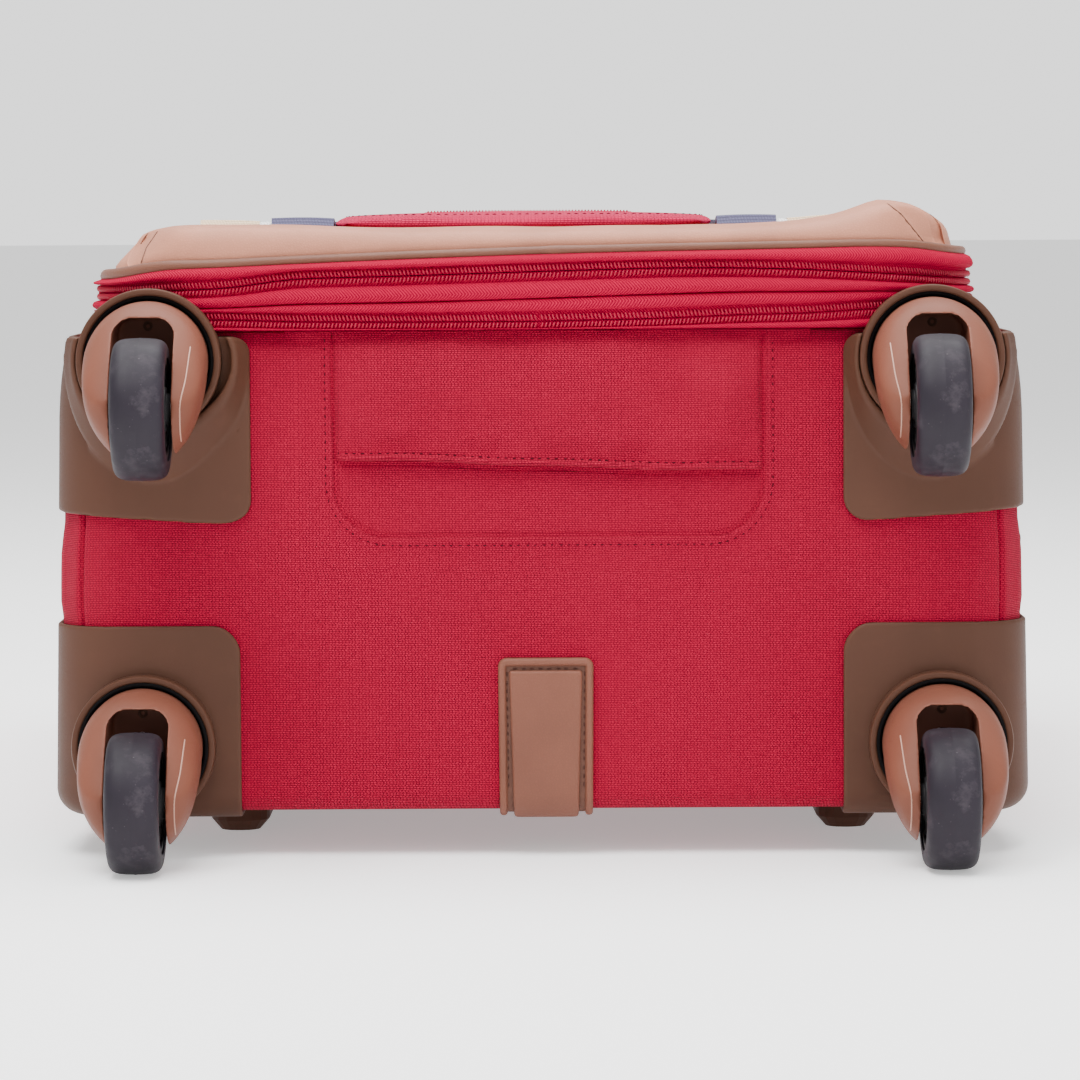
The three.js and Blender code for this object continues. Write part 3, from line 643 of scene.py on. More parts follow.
def seam_off():
    """How far the cloth sinks at each seam and swells beside it."""
    d = np.min([np.abs((S_BODY - s + CASE.length / 2) % CASE.length - CASE.length / 2) for s in SEAMS], 0)
    return -1.3 * np.exp(-(d / 0.75) ** 2) + 0.45 * np.exp(-((d - 2.4) / 1.5) ** 2)


def body_rings(grow, soft):
    """Rings down the wall, round the back edge and over the back. soft: 1 outside, 0 inside."""
    rings = []
    walls = np.concatenate([np.linspace(FRONT - 0.6, FRONT - 8, 6), np.linspace(FRONT - 12, BACK + FILLET,
            28)])
    groove = seam_off() * soft
    for z in walls:
        ring = case_ring(grow + groove - 1.9 * smooth(FRONT - 6.5, FRONT - 0.8, z), z)
        rings.append(ring)
    for a in (15, 32, 50, 68, 90):
        t = math.radians(a)
        ring = case_ring(grow - (FILLET + grow) * (1 - math.cos(t)) + groove * (1 - a / 90),
                         BACK + FILLET - (FILLET + grow) * math.sin(t))
        rings.append(ring)
    rim = rings[-1]
    z = rim[0, 2]
    heart = np.column_stack([rim[:, 0] * 0, np.clip(rim[:, 1], CASE_NEAR + CASE_HALF, CASE_FAR - CASE_HALF),
                             rim[:, 2]])
    for t in (0.012, 0.03, 0.05, 0.06, 0.07, 0.09, 0.13, 0.2, 0.3, 0.4, 0.5, 0.6, 0.7, 0.8, 0.9, 0.98):
        ring = rim * (1 - t) + heart * t
        ring[:, 2] = z + soft * (1.1 * math.exp(-((t - 0.06) / 0.006) ** 2)
                                 - 0.5 * math.exp(-((t - 0.045) / 0.01) ** 2))
        rings.append(ring)
    return np.array(rings)


def settle(V, amount=1.0):
    """Soft unevenness of cloth over board, pushed out of the case."""
    P = V.reshape(-1, 3)
    c = np.column_stack([np.clip(P[:, 0], -CASE_HALF + 40, CASE_HALF - 40), np.clip(P[:, 1], CASE_NEAR + 40,
            CASE_FAR - 40), np.clip(P[:, 2], BACK + 30, 400)])
    n = P - c
    n /= np.maximum(np.linalg.norm(n, axis=1), 1e-6)[:, None]
    zfade = smooth(BACK + 2, BACK + 18, P[:, 2]) * (1 - smooth(FRONT - 10, FRONT - 1, P[:, 2]))
    side = np.abs(n[:, 0]) > 0.8
    end = np.abs(n[:, 1]) > 0.8
    w = 0.9 * wobble(P, 75, 3.1) + 0.35 * wobble(P, 26, 9.7)
    belly = np.where(side, 1.2, np.where(end, 0.9, 0.8)) * np.sin(np.pi * np.clip((P[:, 2] - BACK) / (FRONT
            - BACK), 0, 1))
    near = smooth(102, 109, np.abs(P[:, 0])) * (1 - smooth(-142, -132, P[:, 1])) * np.maximum(smooth(112, 120,
            P[:, 2]), 1 - smooth(83, 92, P[:, 2]))
    tab = (1 - smooth(19, 30, np.abs(P[:, 0]))) * (1 - smooth(74, 88, P[:, 2])) * (P[:, 1] < -150)
    amount = amount * (1 - near) * (1 - 0.9 * tab)
    P = P + n * ((w + belly) * zfade * amount)[:, None]
    return P.reshape(V.shape)


outer = settle(body_rings(0.0, 1.0))
inner = settle(body_rings(-1.5, 0.0))
top_edge = np.array([face_ring(-13.4, 188.9), face_ring(-13.4, 191.0), face_ring(-1.0, 191.15),
                     case_ring(-3.6, 190.95), case_ring(-2.4, 190.6)])
rings = np.concatenate([inner[::-1], top_edge, outer])
V, F = loft(rings)
body = piece("fabric_body", V, F, RED, "case", angle=65)
fix(body)
BEZEL = prism("y", rrect(-91.6, 22.8, 91.6, 50.2, 3, 4), 215, 270)
cut(body, "DIFFERENCE", scratch("opening", *BEZEL))
body.data.set_sharp_from_angle(angle=math.radians(65))


def around_uv(me):
    """Walls get cloth coordinates by arc length round the case; faces that look along Z stay flat."""
    box_uv(me)
    layer = me.uv_layers["cloth"]
    P = millimetres(me)
    x, y = P[:, 0], P[:, 1]
    r = CASE_CORNER
    cx, cy = np.clip(x, -CASE_HALF + r, CASE_HALF - r), np.clip(y, CASE_NEAR + r, CASE_FAR - r)
    ang = np.arctan2(y - cy, x - cx)
    a, q, b = CASE_HALF - r, math.pi / 2 * r, CASE_FAR - CASE_NEAR - 2 * r
    corner = (np.abs(x) > CASE_HALF - r) & ((y < CASE_NEAR + r) | (y > CASE_FAR - r))
    s = np.where(y <= CASE_NEAR + r, x, 0.0)
    s = np.where(corner & (y < CASE_NEAR + r) & (x > 0), a + (ang + math.pi / 2) * r, s)
    s = np.where(corner & (y < CASE_NEAR + r) & (x < 0), -a - (-ang - math.pi / 2) * r, s)
    mid = ~corner & (np.abs(x) > CASE_HALF - r) & (y > CASE_NEAR + r)
    s = np.where(mid & (x > 0), a + q + (y - CASE_NEAR - r), s)
    s = np.where(mid & (x < 0), -a - q - (y - CASE_NEAR - r), s)
    s = np.where(corner & (y > CASE_FAR - r) & (x > 0), a + q + b + ang * r, s)
    s = np.where(corner & (y > CASE_FAR - r) & (x < 0), -a - q - b - (math.pi - ang) * r, s)
    top = ~corner & (y >= CASE_FAR - r) & (np.abs(x) <= CASE_HALF - r)
    s = np.where(top, a + q + b + q + (a - x), s)
    uvv = np.column_stack([s, P[:, 2]]) * 0.001
    n = read(me.polygons, "normal", 3)
    tot = read(me.polygons, "loop_total", kind=np.int32)
    idx = read(me.loops, "vertex_index", kind=np.int32)
    cur = read(layer.data, "uv", 2)
    wall = np.repeat(np.abs(n[:, 2]) < 0.75, tot)
    u = uvv[idx]
    start = np.concatenate([[0], np.cumsum(tot)[:-1]])
    lo, hi = np.minimum.reduceat(u[:, 0], start), np.maximum.reduceat(u[:, 0], start)
    ok = np.repeat(hi - lo < 0.1, tot)
    cur[wall & ok] = u[wall & ok]
    layer.data.foreach_set("uv", cur.ravel())


around_uv(body.data)
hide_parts("back_panel", "bottom_panel", "top_panel", "left_panel", "right_panel")

lin_out, lin_in = body_rings(-2.0, 0.0), body_rings(-4.0, 0.0)
V, F = loft(np.concatenate([lin_in[::-1], lin_out]))
lining = piece("lining_shell", V, F, LINING, "case", angle=65)
fix(lining)
cut(lining, "DIFFERENCE", scratch("opening", *BEZEL))
lining.data.set_sharp_from_angle(angle=math.radians(65))
box_uv(lining.data)


# ---------------------------------------------------------------- the front's wavy zips
# How far the two zips and the piping stray from level along the wheel end, in millimetres.
STRAY_X = [-166, -159, -152, -136, -112, -89, -50, 0, 43, 72, 96, 120, 141, 153, 166]
EXPANDER_STRAY = [-1.2, -1.3, -1.3, -1.2, -1.2, -2.0, -2.3, -2.3, -1.5, -0.3, 0.1, 1.5, 1.9, 1.5, 1.0]
ZIP_STRAY = [-5.2, -5.0, -4.8, -4.1, -3.2, 0.0, 0.8, 2.2, 3.2, 3.1, 2.4, 1.2, 0.1, -0.8, -1.5]
PIPING_STRAY = [-7.0, -7.2, -5.6, -3.2, -2.5, -1.5, 0.0, 1.6, 2.4, 2.8, 3.2, 3.7, 3.2, 1.4, 0.2]
TOP_STRAY = [-7.0, -6.0, -3.0, -0.4, 0.0, -0.3, -1.5, -1.3, -1.1, -0.8, -0.5, -0.1, -0.2, -0.8, -3.0]


def near_end(y):
    """1 at the wheel end, fading along the sides."""
    return 1 - smooth(LID_NEAR + 46, LID_NEAR + 112, y)


def stray(x, y, table):
    """The whole left side, where the lid is hinged, hangs low; elsewhere only the wheel end strays."""
    left = smooth(-120, -150, x)
    fade = near_end(y) * (1 - left) + (1 - smooth(120, 225, y)) * left
    fine = np.interp(x, STRAY_X, table)
    wide = 0.5 * (np.interp(x - 7, STRAY_X, table) + np.interp(x + 7, STRAY_X, table))
    return fade * (0.5 * fine + 0.5 * wide)


def wave(V):
    """Moves the front section's points with the zips."""
    V = np.array(V, float)
    x, y, z = V[..., 0].copy(), V[..., 1], V[..., 2]  # z goes on showing the moved heights
    e, m, p, t = (stray(x, y, k) for k in (EXPANDER_STRAY, ZIP_STRAY, PIPING_STRAY, TOP_STRAY))
    fold = 0.5 * (e + m) + near_end(y) * 0.7 * np.tanh(x / 60)
    knots = [(191.1, e * 0), (194.1, np.maximum(e, -2.6)), (195.2, e), (198.4, e), (202.3, fold), (207.4, m),
             (212.2, m), (214.6, 0.45 * m + 0.55 * p),
             (216.0, p), (219.0, p), (228.0, t)]
    dz = knots[0][1]
    for (z0, d0), (z1, d1) in zip(knots[:-1], knots[1:]):
        f = np.clip((z - z0) / (z1 - z0), 0, 1)
        dz = np.where(z > z0, d0 + (d1 - d0) * f, dz)
    V[..., 2] += dz
    rise = smooth(190.5, 196, z)
    V[..., 0] -= rise * (1 - smooth(-165, 40, y)) * 7.5 * smooth(90, 166, x)
    V[..., 0] += rise * near_end(y) * 2.8 * smooth(-90, -166, x)
    return V


def outward(ob):
    bm = bmesh.new()
    bm.from_mesh(ob.data)
    bmesh.ops.recalc_face_normals(bm, faces=bm.faces)
    bm.to_mesh(ob.data)
    bm.free()
    return ob


def band(name, loop, a, b, prof, mat, body, closed, puff=0.3, angle=60):
    """A closed profile of (offset, z) points swept round the loop and moved with the zips."""
    if closed:
        a = loop.s_of(0.0, side="top")
        b = a + loop.length
    S = steps(loop, a, b, 4.0, 2.2)
    if closed:
        S = S[:-1]
    prof = np.array(prof, float)
    many = np.repeat(prof[None], len(S), 0)
    lift = np.clip((prof[:, 0] + 1.2) / 2.0, 0, 1)
    many[..., 0] += puff * lift[None] * (np.sin(S / 19.0)[:, None] + 0.7 * np.sin(S / 8.1 + 1.3)[:, None])
    V = sweep(loop, S, many)
    V = wave(V)
    n, m = V.shape[:2]
    F = skin(n, m, close_u=closed, close_v=True) + ([] if closed else caps(n, m))
    run = np.concatenate([[0], np.cumsum(np.linalg.norm(np.diff(prof, axis=0), axis=1))])
    uv = np.stack([np.repeat(S[:, None], m, 1), np.repeat(run[None], n, 0)], -1).reshape(-1, 2)
    ob = outward(piece(name, V.reshape(-1, 3), F, mat, body, uv=uv, angle=angle))
    return ob


def coil(name, a, b, z, lean, body, pitch=1.38, off=-0.8, tall=1.15):
    """One row of a coil zip: a slanted, bowed loop every pitch."""
    n = int((b - a) / pitch)
    s = a + (np.arange(n) + 0.5) * pitch
    t = np.array([-1.0, -0.72, 0.0, 0.72, 1.0])
    rad = np.array([0.2, 0.40, 0.43, 0.40, 0.2])
    P, N = FACE.at(s)
    T = np.column_stack([-N[:, 1], N[:, 0]])
    ang = np.arange(6) / 6 * TAU
    V = np.zeros((n, 5, 6, 3))
    for i in range(5):
        for j in range(6):
            o = off + 0.55 * (1 - t[i] ** 2) + rad[i] * math.cos(ang[j])
            d = lean * t[i] * 0.36 + rad[i] * math.sin(ang[j])
            V[:, i, j, :2] = P + N * o + T * d
            V[:, i, j, 2] = z
    V = wave(V)
    V[..., 2] += (t * tall)[None, :, None]
    one = skin(5, 6, close_v=True) + caps(5, 6)
    F = [[k + 30 * i for k in f] for i in range(n) for f in one]
    ob = outward(piece(name, V.reshape(-1, 3), F, COIL, body, angle=180))
    return ob


LID_ROUND = FACE.length
ZIP_A, ZIP_B = FACE.s_of(y=-150, side="left") - LID_ROUND, FACE.s_of(y=190, side="left")
rim = band("rim_tape", FACE, 0, LID_ROUND, [(-0.9, 191.2), (0.0, 191.5), (0.5, 192.1), (0.4, 192.8),
                                            (-0.3, 193.2), (-1.5, 193.3), (-1.5, 196.2),
                                    (-2.3, 196.2), (-2.3, 192.8), (-13, 192.4), (-13, 191.25)], TAPE, "case",
           True, 0.12)
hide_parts("case_rim")
coil("expansion_coil_lower", 0, LID_ROUND, 194.85, 1, "case")
ex = band("expander_tape", FACE, 0, LID_ROUND, [(-1.5, 196.45), (-1.5, 199.3), (-0.4, 199.4), (0.5, 199.8),
                                                (0.95, 200.5), (0.8, 201.3), (0.1, 202.0), (-1.5, 202.3),
                                        (0.2, 202.55), (1.0, 203.2), (1.45, 204.1), (1.4, 204.9),
                                                (0.9, 205.9), (-0.1, 206.5), (-1.5, 206.8), (-1.5, 209.6),
                                        (-2.3, 209.6), (-2.9, 207.5), (-14.4, 207.2), (-14.4, 154.2),
                                                (-15.5, 154.2), (-15.5, 208.2), (-3.4, 208.4),
                                                (-3.4, 196.45)],
          TAPE, "expander", True)
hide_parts("expander_band")
coil("expansion_coil_upper", 0, LID_ROUND, 197.75, -1, "expander")
coil("main_coil_lower", ZIP_A, ZIP_B, 208.3, 1, "expander")
coil("main_coil_upper", ZIP_A, ZIP_B, 211.2, -1, "lid")
band("lid_binding", FACE, 0, LID_ROUND, [(-1.5, 209.9), (-1.5, 212.8), (-0.3, 213.0), (0.7, 213.5),
                                         (1.1, 214.2), (0.8, 215.0), (-0.1, 215.9), (-1.7, 216.5),
                                         (-6.4, 216.7), (-6.4, 213.0), (-3.4, 212.0), (-3.4, 209.9)],
     TAPE, "lid", True)

# the piping: a leather-covered cord all round the lid, its lapped joint at the wheel end
_a = np.linspace(0, TAU, 13)[:-1]
_cord = np.column_stack([-3.5 + 1.9 * np.cos(_a), 217.7 + 1.9 * np.sin(_a)])
S = steps(FACE, 3.0, 3.0 + LID_ROUND, 4.0, 2.2)
lap = 1 + 0.16 * smooth(12, 2, np.abs(S - 3.0))
many = np.repeat(_cord[None], len(S), 0)
mid = np.array([-3.5, 217.7])
fat = 1 + 0.22 * near_end(FACE.at(S)[0][:, 1]) * smooth(-120, -160, FACE.at(S)[0][:, 0])
many = mid + (many - mid) * (lap * fat)[:, None, None]
V = wave(sweep(FACE, S, many))
n, m = V.shape[:2]
F = skin(n, m, close_v=True) + caps(n, m)
pipe = outward(piece("lid_piping", V.reshape(-1, 3), F, PIPE, "lid"))


# ---------------------------------------------------------------- the lid
def surface(name, V, F, mat, body, thick, uv=None, offset=-1.0, angle=50):
    ob = piece(name, V, F, mat, None, uv=uv, angle=180)
    mod(ob, "SOLIDIFY", thickness=thick * 0.001, offset=offset, use_even_offset=True,
        use_quality_normals=True)
    baked(ob)
    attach(ob, body)
    ob.data.set_sharp_from_angle(angle=math.radians(angle))
    return ob


def heights(ob):
    """A function giving the height of an object's top at (x, y) in millimetres."""
    me = ob.data
    tree = BVHTree.FromPolygons([ob.matrix_world @ v.co for v in me.vertices], [list(p.vertices)
            for p in me.polygons])

    def height(x, y, default=None):
        w = W((x, y, 320))
        hit = tree.ray_cast(Vector(w), Vector((0, 0, -1)))
        return hit[0].z * 1000 if hit[0] is not None else default
    return height


def puffed(ob, cap, voxel, frames=20, pressure=3.0):
    """Fills a closed mesh with soft padding: cloth blown up a little, and left to wrinkle."""
    mod(ob, "REMESH", mode="VOXEL", voxel_size=voxel * 0.001)
    baked(ob)
    me = ob.data
    start = read(me.vertices, "co", 3)
    c = mod(ob, "CLOTH")
    s = c.settings
    s.quality = 5
    s.mass = 0.15
    s.tension_stiffness = s.compression_stiffness = 12
    s.shear_stiffness = 8
    s.bending_stiffness = 0.6
    s.use_pressure = True
    s.uniform_pressure_force = pressure
    s.shrink_min = -0.03
    s.effector_weights.gravity = 0.0
    scene = bpy.context.scene
    c.point_cache.frame_start, c.point_cache.frame_end = 1, frames
    for f in range(1, frames + 1):
        scene.frame_set(f)
    dg = bpy.context.evaluated_depsgraph_get()
    got = read(ob.evaluated_get(dg).data.vertices, "co", 3)
    ob.modifiers.clear()
    scene.frame_set(1)
    d = got - start
    ln = np.linalg.norm(d, axis=1)
    k = np.where(ln > 1e-9, cap * 0.001 * np.tanh(ln / (cap * 0.001)) / np.maximum(ln, 1e-9), 0)
    moved(me, start + d * k[:, None])
    mod(ob, "SUBSURF", levels=1, render_levels=1)
    baked(ob)
    return ob


def pillow(name, x0, y0, x1, y1, r, z0, z1, mat, body, edge=4.0, dome=1.0, n=10, shift=None, slope=1.4):
    """A closed cushion: a rounded rectangle with soft edges and a slightly domed top."""
    cx, cy = (x0 + x1) / 2, (y0 + y1) / 2
    out = rrect(x0, y0, x1, y1, r, n)
    # even spacing
    seg = np.linalg.norm(np.roll(out, -1, 0) - out, axis=1)
    cum = np.concatenate([[0], np.cumsum(seg)])
    k = int(cum[-1] / 6.0)
    s = np.arange(k) / k * cum[-1]
    loop = np.concatenate([out, out[:1]])
    P = np.column_stack([np.interp(s, cum, loop[:, 0]), np.interp(s, cum, loop[:, 1])])
    hx, hy = (x1 - x0) / 2, (y1 - y0) / 2
    def ring(inset, z):
        q = (P - (cx, cy)) * (1 - inset / np.array([hx, hy])) + (cx, cy)
        return np.column_stack([q, np.full(len(q), z)])
    top = min(hx, hy)
    rings = [ring(top * f, z0) for f in (0.95, 0.8, 0.6, 0.4, 0.25, 0.15)] + [ring(edge * 0.8, z0)]
    for a in (20, 45, 70, 90):
        t = math.radians(a)
        rings.append(ring(edge * (1 - math.sin(t)), z0 + edge * (1 - math.cos(t)) * 0.5))
    for a in (90, 65, 40, 15):
        t = math.radians(a)
        rings.append(ring(edge * (1 - math.sin(t)) * slope, z1 - edge * (1 - math.cos(t))))
    for f in (0.12, 0.25, 0.4, 0.6, 0.8, 0.95):
        rings.append(ring(top * f, z1 + dome * math.sin(f * math.pi / 2)))
    V, F = loft(rings)
    if shift is not None:
        V = shift(V)
    return fix(piece(name, V, F, mat, body))


def lid_shift(V):
    V = wave(V)
    V[:, 2] -= 1.2 * (V[:, 2] > 215) * (1 - smooth(-158, -146, V[:, 1]))
    return V


pad = pillow("lid_pad", -LID_HALF + 3.5, LID_NEAR + 3.5, LID_HALF - 3.5, LID_FAR - 3.5, LID_CORNER - 3.5,
             212.2, 225.6, RED_LID_LIT, "lid", edge=8.0, dome=0.6, shift=lid_shift, slope=2.6)
puffed(pad, cap=1.2, voxel=6.0)
P = millimetres(pad.data)
under = 1 - smooth(-160, -147, P[:, 1])  # the stretch that the boot covers
P[:, 2] -= (P[:, 2] > 216) * under * (P[:, 2] - 216) * 0.5
P[:, 0] *= 1 - 0.13 * under
P[:, 1] += 9 * smooth(-190, -208, P[:, 1])
moved(pad.data, W(P))
box_uv(pad.data)
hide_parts("lid_panel")
pad_top = heights(pad)

# its lining
lid_lining = pillow("lid_lining", -LID_HALF + 6, LID_NEAR + 6, LID_HALF - 6, LID_FAR - 6, LID_CORNER - 6,
                    209.9, 211.9, LINING, "lid", edge=0.9, dome=0.1, shift=wave)
box_uv(lid_lining.data)


def bead(path, r, sides=6):
    """A fine round line along a path of 3-D points."""
    P = np.array(path, float)
    T = np.gradient(P, axis=0)
    T /= np.linalg.norm(T, axis=1)[:, None]
    A = np.cross(T, [0, 0, 1.0])
    A /= np.linalg.norm(A, axis=1)[:, None]
    B = np.cross(T, A)
    t = np.arange(sides) / sides * TAU
    rr = np.full(len(P), r)
    rr[0] = rr[-1] = r * 0.3
    V = P[:, None] + rr[:, None, None] * (np.cos(t)[None, :, None] * A[:, None] + np.sin(t)[None, :, None]
                                          * B[:, None])
    return V.reshape(-1, 3), skin(len(P), sides, close_v=True) + caps(len(P), sides)


# ---------------------------------------------------------------- the moulded boot over the lid's wheel end
FOLD_PLANE = -262.0  # the corner folds are drawn on this plane across the view, then cast onto the leather


def boot():
    s0, s1 = FACE.s_of(y=-150, side="left") - LID_ROUND, FACE.s_of(y=-150, side="right")
    S = np.sort(np.concatenate([steps(FACE, s0, s1, 3.0, 0.8), np.linspace(s0, s0 + 6, 4), np.linspace(s1 - 6,
            s1, 4)]))
    S = S[np.concatenate([[True], np.diff(S) > 0.3])]
    _, N0 = FACE.at(S)
    theta0 = np.degrees(np.arctan2(np.abs(N0[:, 0]), -N0[:, 1]))  # 0 on the wheel end, 90 on the long sides
    left = N0[:, 0] + (np.abs(N0[:, 0]) < 1e-6) * (S - (s0 + s1) / 2) < 0
    mid_left, mid_right = 58.0, 46.0
    level = [218.0, 219.2, 220.8, 222.4, 224.0, 225.6, 227.0, 228.2, 228.8, 229.1, 229.3, 229.4, 229.4]
    end = [5.4, 5.2, 5.1, 5.2, 5.7, 6.5, 7.8, 9.8, 12.6, 16.0, 20.0, 25.0, 31.0]
    left_side = [7.4, 7.5, 7.7, 9.6, 12.2, 14.8, 17.3, 19.6, 21.4, 23.2, 26.0, 29.5, 34.0]
    right_side = [7.2, 7.6, 8.0, 8.4, 8.8, 9.2, 9.8, 11.0, 13.2, 16.0, 20.0, 25.0, 32.0]
    V, rows = [], []
    for i in range(len(level) + 5):
        k = min(i, len(level) - 1)
        t = np.clip((level[k] - 218.2) / 11, 0, 1)
        # the leather leans at its corners, so the columns lean with it
        lean = np.where(left, -(20 * t - 10) * np.exp(-((theta0 - mid_left) / 22) ** 2),
                        (6 * t - 3) * -np.exp(-((theta0 - mid_right) / 18) ** 2)) * 0.785
        P, N = FACE.at(S + lean)
        f = (S - s0) / (s1 - s0)
        Q = np.column_stack([-(LID_HALF - 26) + 2 * (LID_HALF - 26) * f, np.full(len(S), -150.0)])
        run = np.linalg.norm(Q - P, axis=1)
        D = (Q - P) / run[:, None]
        theta = np.degrees(np.arctan2(np.abs(N[:, 0]), -N[:, 1]))
        turn = smooth(8, 62, theta)
        d = end[k] + turn * (np.where(left, left_side[k], right_side[k]) - end[k])
        d = np.minimum(d, run - 1.0)
        z = np.full(len(S), level[k])
        if i >= len(level):
            g = (i - len(level) + 1) / 5
            d, z = d + (run - d) * g, z - 2.5 * g ** 2
        edge = np.where(left, mid_left, mid_right) - theta0
        fold = smooth(-0.5, 0.5, edge) * np.exp(-np.clip(edge, 0, 90) / 11)
        live = smooth(-0.05, 0.12, t) * (1 - 0.9 * smooth(0.93, 1.0, t))
        sink = np.where(left, 3.4, 2.6) * smooth(0.5, -2.0, edge) * (1 - smooth(-3, -27, edge)) * live
        V.append(np.column_stack([P + D * d[:, None] + N * (2.4 * fold * live - sink)[:, None], z]))
        rows.append(level[k])
    V = wave(np.array(V))
    x, y = V[..., 0], V[..., 1]
    up = smooth(221, 229, np.array(rows))[:, None]
    swell = np.interp(x, [70, 87, 95, 103, 107, 111, 115, 119, 123, 127, 133.5, 138.5, 142.5, 146.5, 149, 151,
                          153],
                      [0, 0.6, 1.2, 2.3, 3.0, 4.0, 5.4, 6.9, 7.9, 7.9, 7.1, 5.7, 4.2, 2.5, 1.6, 0.6,
                       0]) * np.exp(-((y + 188) / 30) ** 2)
    V[..., 2] += up * swell
    V[..., 2] += up * 0.5 * wobble(V, 30, 4.4)
    V[..., 2] -= up * 0.5 * bump(y, -196, 7) * (1 - smooth(90, 120, np.abs(x)))
    # a pressed fold at each corner: the cloth steps back outside it, with a fine dark line along it, a
    # painted shadow of the fold
    folds = [np.array([(-139.2, 215.0), (-136.9, 221.5), (-135.0, 224.2), (-132.9, 227.2)]),
             np.array([(134.0, 221.5), (128.9, 227.9), (125.8, 231.7), (120.9, 235.5)])]
    n, m = V.shape[:2]
    view = np.array(EYE)
    far = (FOLD_PLANE - view[1]) / (V[..., 1] - view[1])
    seen = view + (V - view) * far[..., None]
    for side, fold in zip((-1, 1), folds):
        out = side * (seen[..., 0] - np.interp(seen[..., 2], fold[:, 1], fold[:, 0]))
        here = smooth(fold[0, 1] - 2, fold[0, 1] + 2, seen[..., 2]) * (1 - smooth(fold[-1, 1] - 3, fold[-1, 1]
                + 1, seen[..., 2]))
        here = here * (V[..., 1] < -180) * (side * V[..., 0] > 90)
        V[..., 1] += 3.2 * smooth(-0.6, 1.2, out) * (1 - smooth(3, 16, out)) * here
    tree = BVHTree.FromPolygons([Vector(p) for p in V.reshape(-1, 3)], [list(f) for f in skin(n, m,
            flip=True)])
    lines = []
    for fold in folds:
        fine = np.linspace(0, 3, 28)
        line = []
        for x, z in zip(np.interp(fine, range(4), fold[:, 0]), np.interp(fine, range(4), fold[:, 1])):
            hit = tree.ray_cast(Vector(view), Vector((x, FOLD_PLANE, z)) - Vector(view))[0]
            if hit is not None and (not line or (hit - Vector(line[-1])).length < 4):
                line.append((hit.x, hit.y - 0.05, hit.z))
        if len(line) > 4:
            lines.append(bead(line, 0.3, 8))
    # the fold lines are thin beads of dark leather: painted shadow along each fold
    LV, LF = joined(lines)
    outward(piece("boot_pleats", LV, LF, TAN_GROOVE_AND_FOLD_SHADOW, "lid", angle=180))
    n, m = V.shape[:2]
    uv = np.stack([np.repeat(S[None], n, 0), np.repeat(np.arange(n)[:, None] * 3.0, m, 1)], -1).reshape(-1, 2)
    ob = surface("front_boot", V.reshape(-1, 3), skin(n, m, flip=True), BOOT_LIT, "lid", 1.5, uv)
    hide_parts("front_trim")
    return ob


trim = boot()
boot_top = heights(trim)


def top_of(x, y, default=None):
    return max(pad_top(x, y, default), boot_top(x, y, default))


def strap(name, x0, x1, mat, lift=0.0, thick=1.3, hump=0.8, y0=-154.0, y1=243.0, slot_name=None):
    """A flat band laid along the lid."""
    ys = np.arange(y0, y1 + 0.1, 3.0)
    xs = np.linspace(x0, x1, max(4, int((x1 - x0) / 2.5)))
    V = np.zeros((len(ys), len(xs), 3))
    for i, y in enumerate(ys):
        for j, x in enumerate(xs):
            h = max(top_of(x + dx, y + dy, 224.0) for dx, dy in ((0, 0), (2, 0), (-2, 0), (0, 3), (0, -3)))
            V[i, j] = (x, y, h + 0.25 + lift)
    V[..., 2] = np.apply_along_axis(lambda c: np.convolve(np.pad(c, 2, mode="edge"), np.ones(5) / 5, "valid"),
                                    0, V[..., 2]) + 0.15
    cross = np.linspace(-1, 1, len(xs))
    V[..., 2] += 0.25 * (1 - cross ** 2)[None] + hump * np.exp(-((ys + 148) / 9.0) ** 2)[:, None]
    V[0, :, 2] -= 0.7 + lift + hump
    V[..., 2] -= 0.6 * smooth(y1 - 2, y1 + 1, ys)[:, None]
    V[..., 0] += 0.5 * wobble(np.column_stack([ys * 0, ys, ys * 0]), 60, x0)[:, None]
    n, m = V.shape[:2]
    uv = V[..., [1, 0]].reshape(-1, 2)
    ob = surface(name, V.reshape(-1, 3), skin(n, m, flip=True), mat, "lid", thick, uv, offset=1.0, angle=40)
    return ob


NAVY_TOPS = []
for side, a in ((-1, "left"), (1, "right")):
    if side < 0:
        spans = (-99.7, -76.7), (-104.3, -99.7), (-126.2, -104.3)
    else:
        spans = (65.7, 87.7), (87.7, 92.1), (92.1, 114.7)
    navy = strap(f"navy_strap_{a}", *spans[0], NAVY, 0.4, 1.6, hump=2.3, slot_name="webbing")
    strap(f"white_strap_{a}", *spans[1], WHITE, 0.1, 0.9, hump=1.5)
    strap(f"cream_strap_{a}", *spans[2], CREAM, 0.2, 1.2, hump=1.6)
    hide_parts(f"front_strap_{a}")
    NAVY_TOPS.append(heights(navy))


def heights_navy(x, y, default):
    return max(top(x, y, 0.0) for top in NAVY_TOPS) or default


# ---------------------------------------------------------------- casters and corner guards
def volume(ob):
    bm = bmesh.new()
    bm.from_mesh(ob.data)
    v = bm.calc_volume()
    bm.free()
    return v


def moulded(ob, voxel, rounds, ratio=0.3):
    """Rounds off a moulding's edges: remesh finely, smooth and thin out."""
    before = volume(ob)
    mod(ob, "REMESH", mode="VOXEL", voxel_size=voxel * 0.001)
    mod(ob, "SMOOTH", factor=0.5, iterations=rounds)
    mod(ob, "DECIMATE", ratio=ratio)
    baked(ob)
    if volume(ob) < 0.8 * before:
        raise RuntimeError(f"{ob.name} lost its volume")
    return ob


def egg(x, z, y, half, ahead, below, sides):
    """A ring across Y that reaches further on one side of its centre than on the other."""
    a = np.arange(sides) / sides * TAU
    reach = np.where(np.sin(a) < 0, below, ahead)
    return np.column_stack([x + half * np.cos(a), np.full(sides, y), z + reach * np.sin(a)])


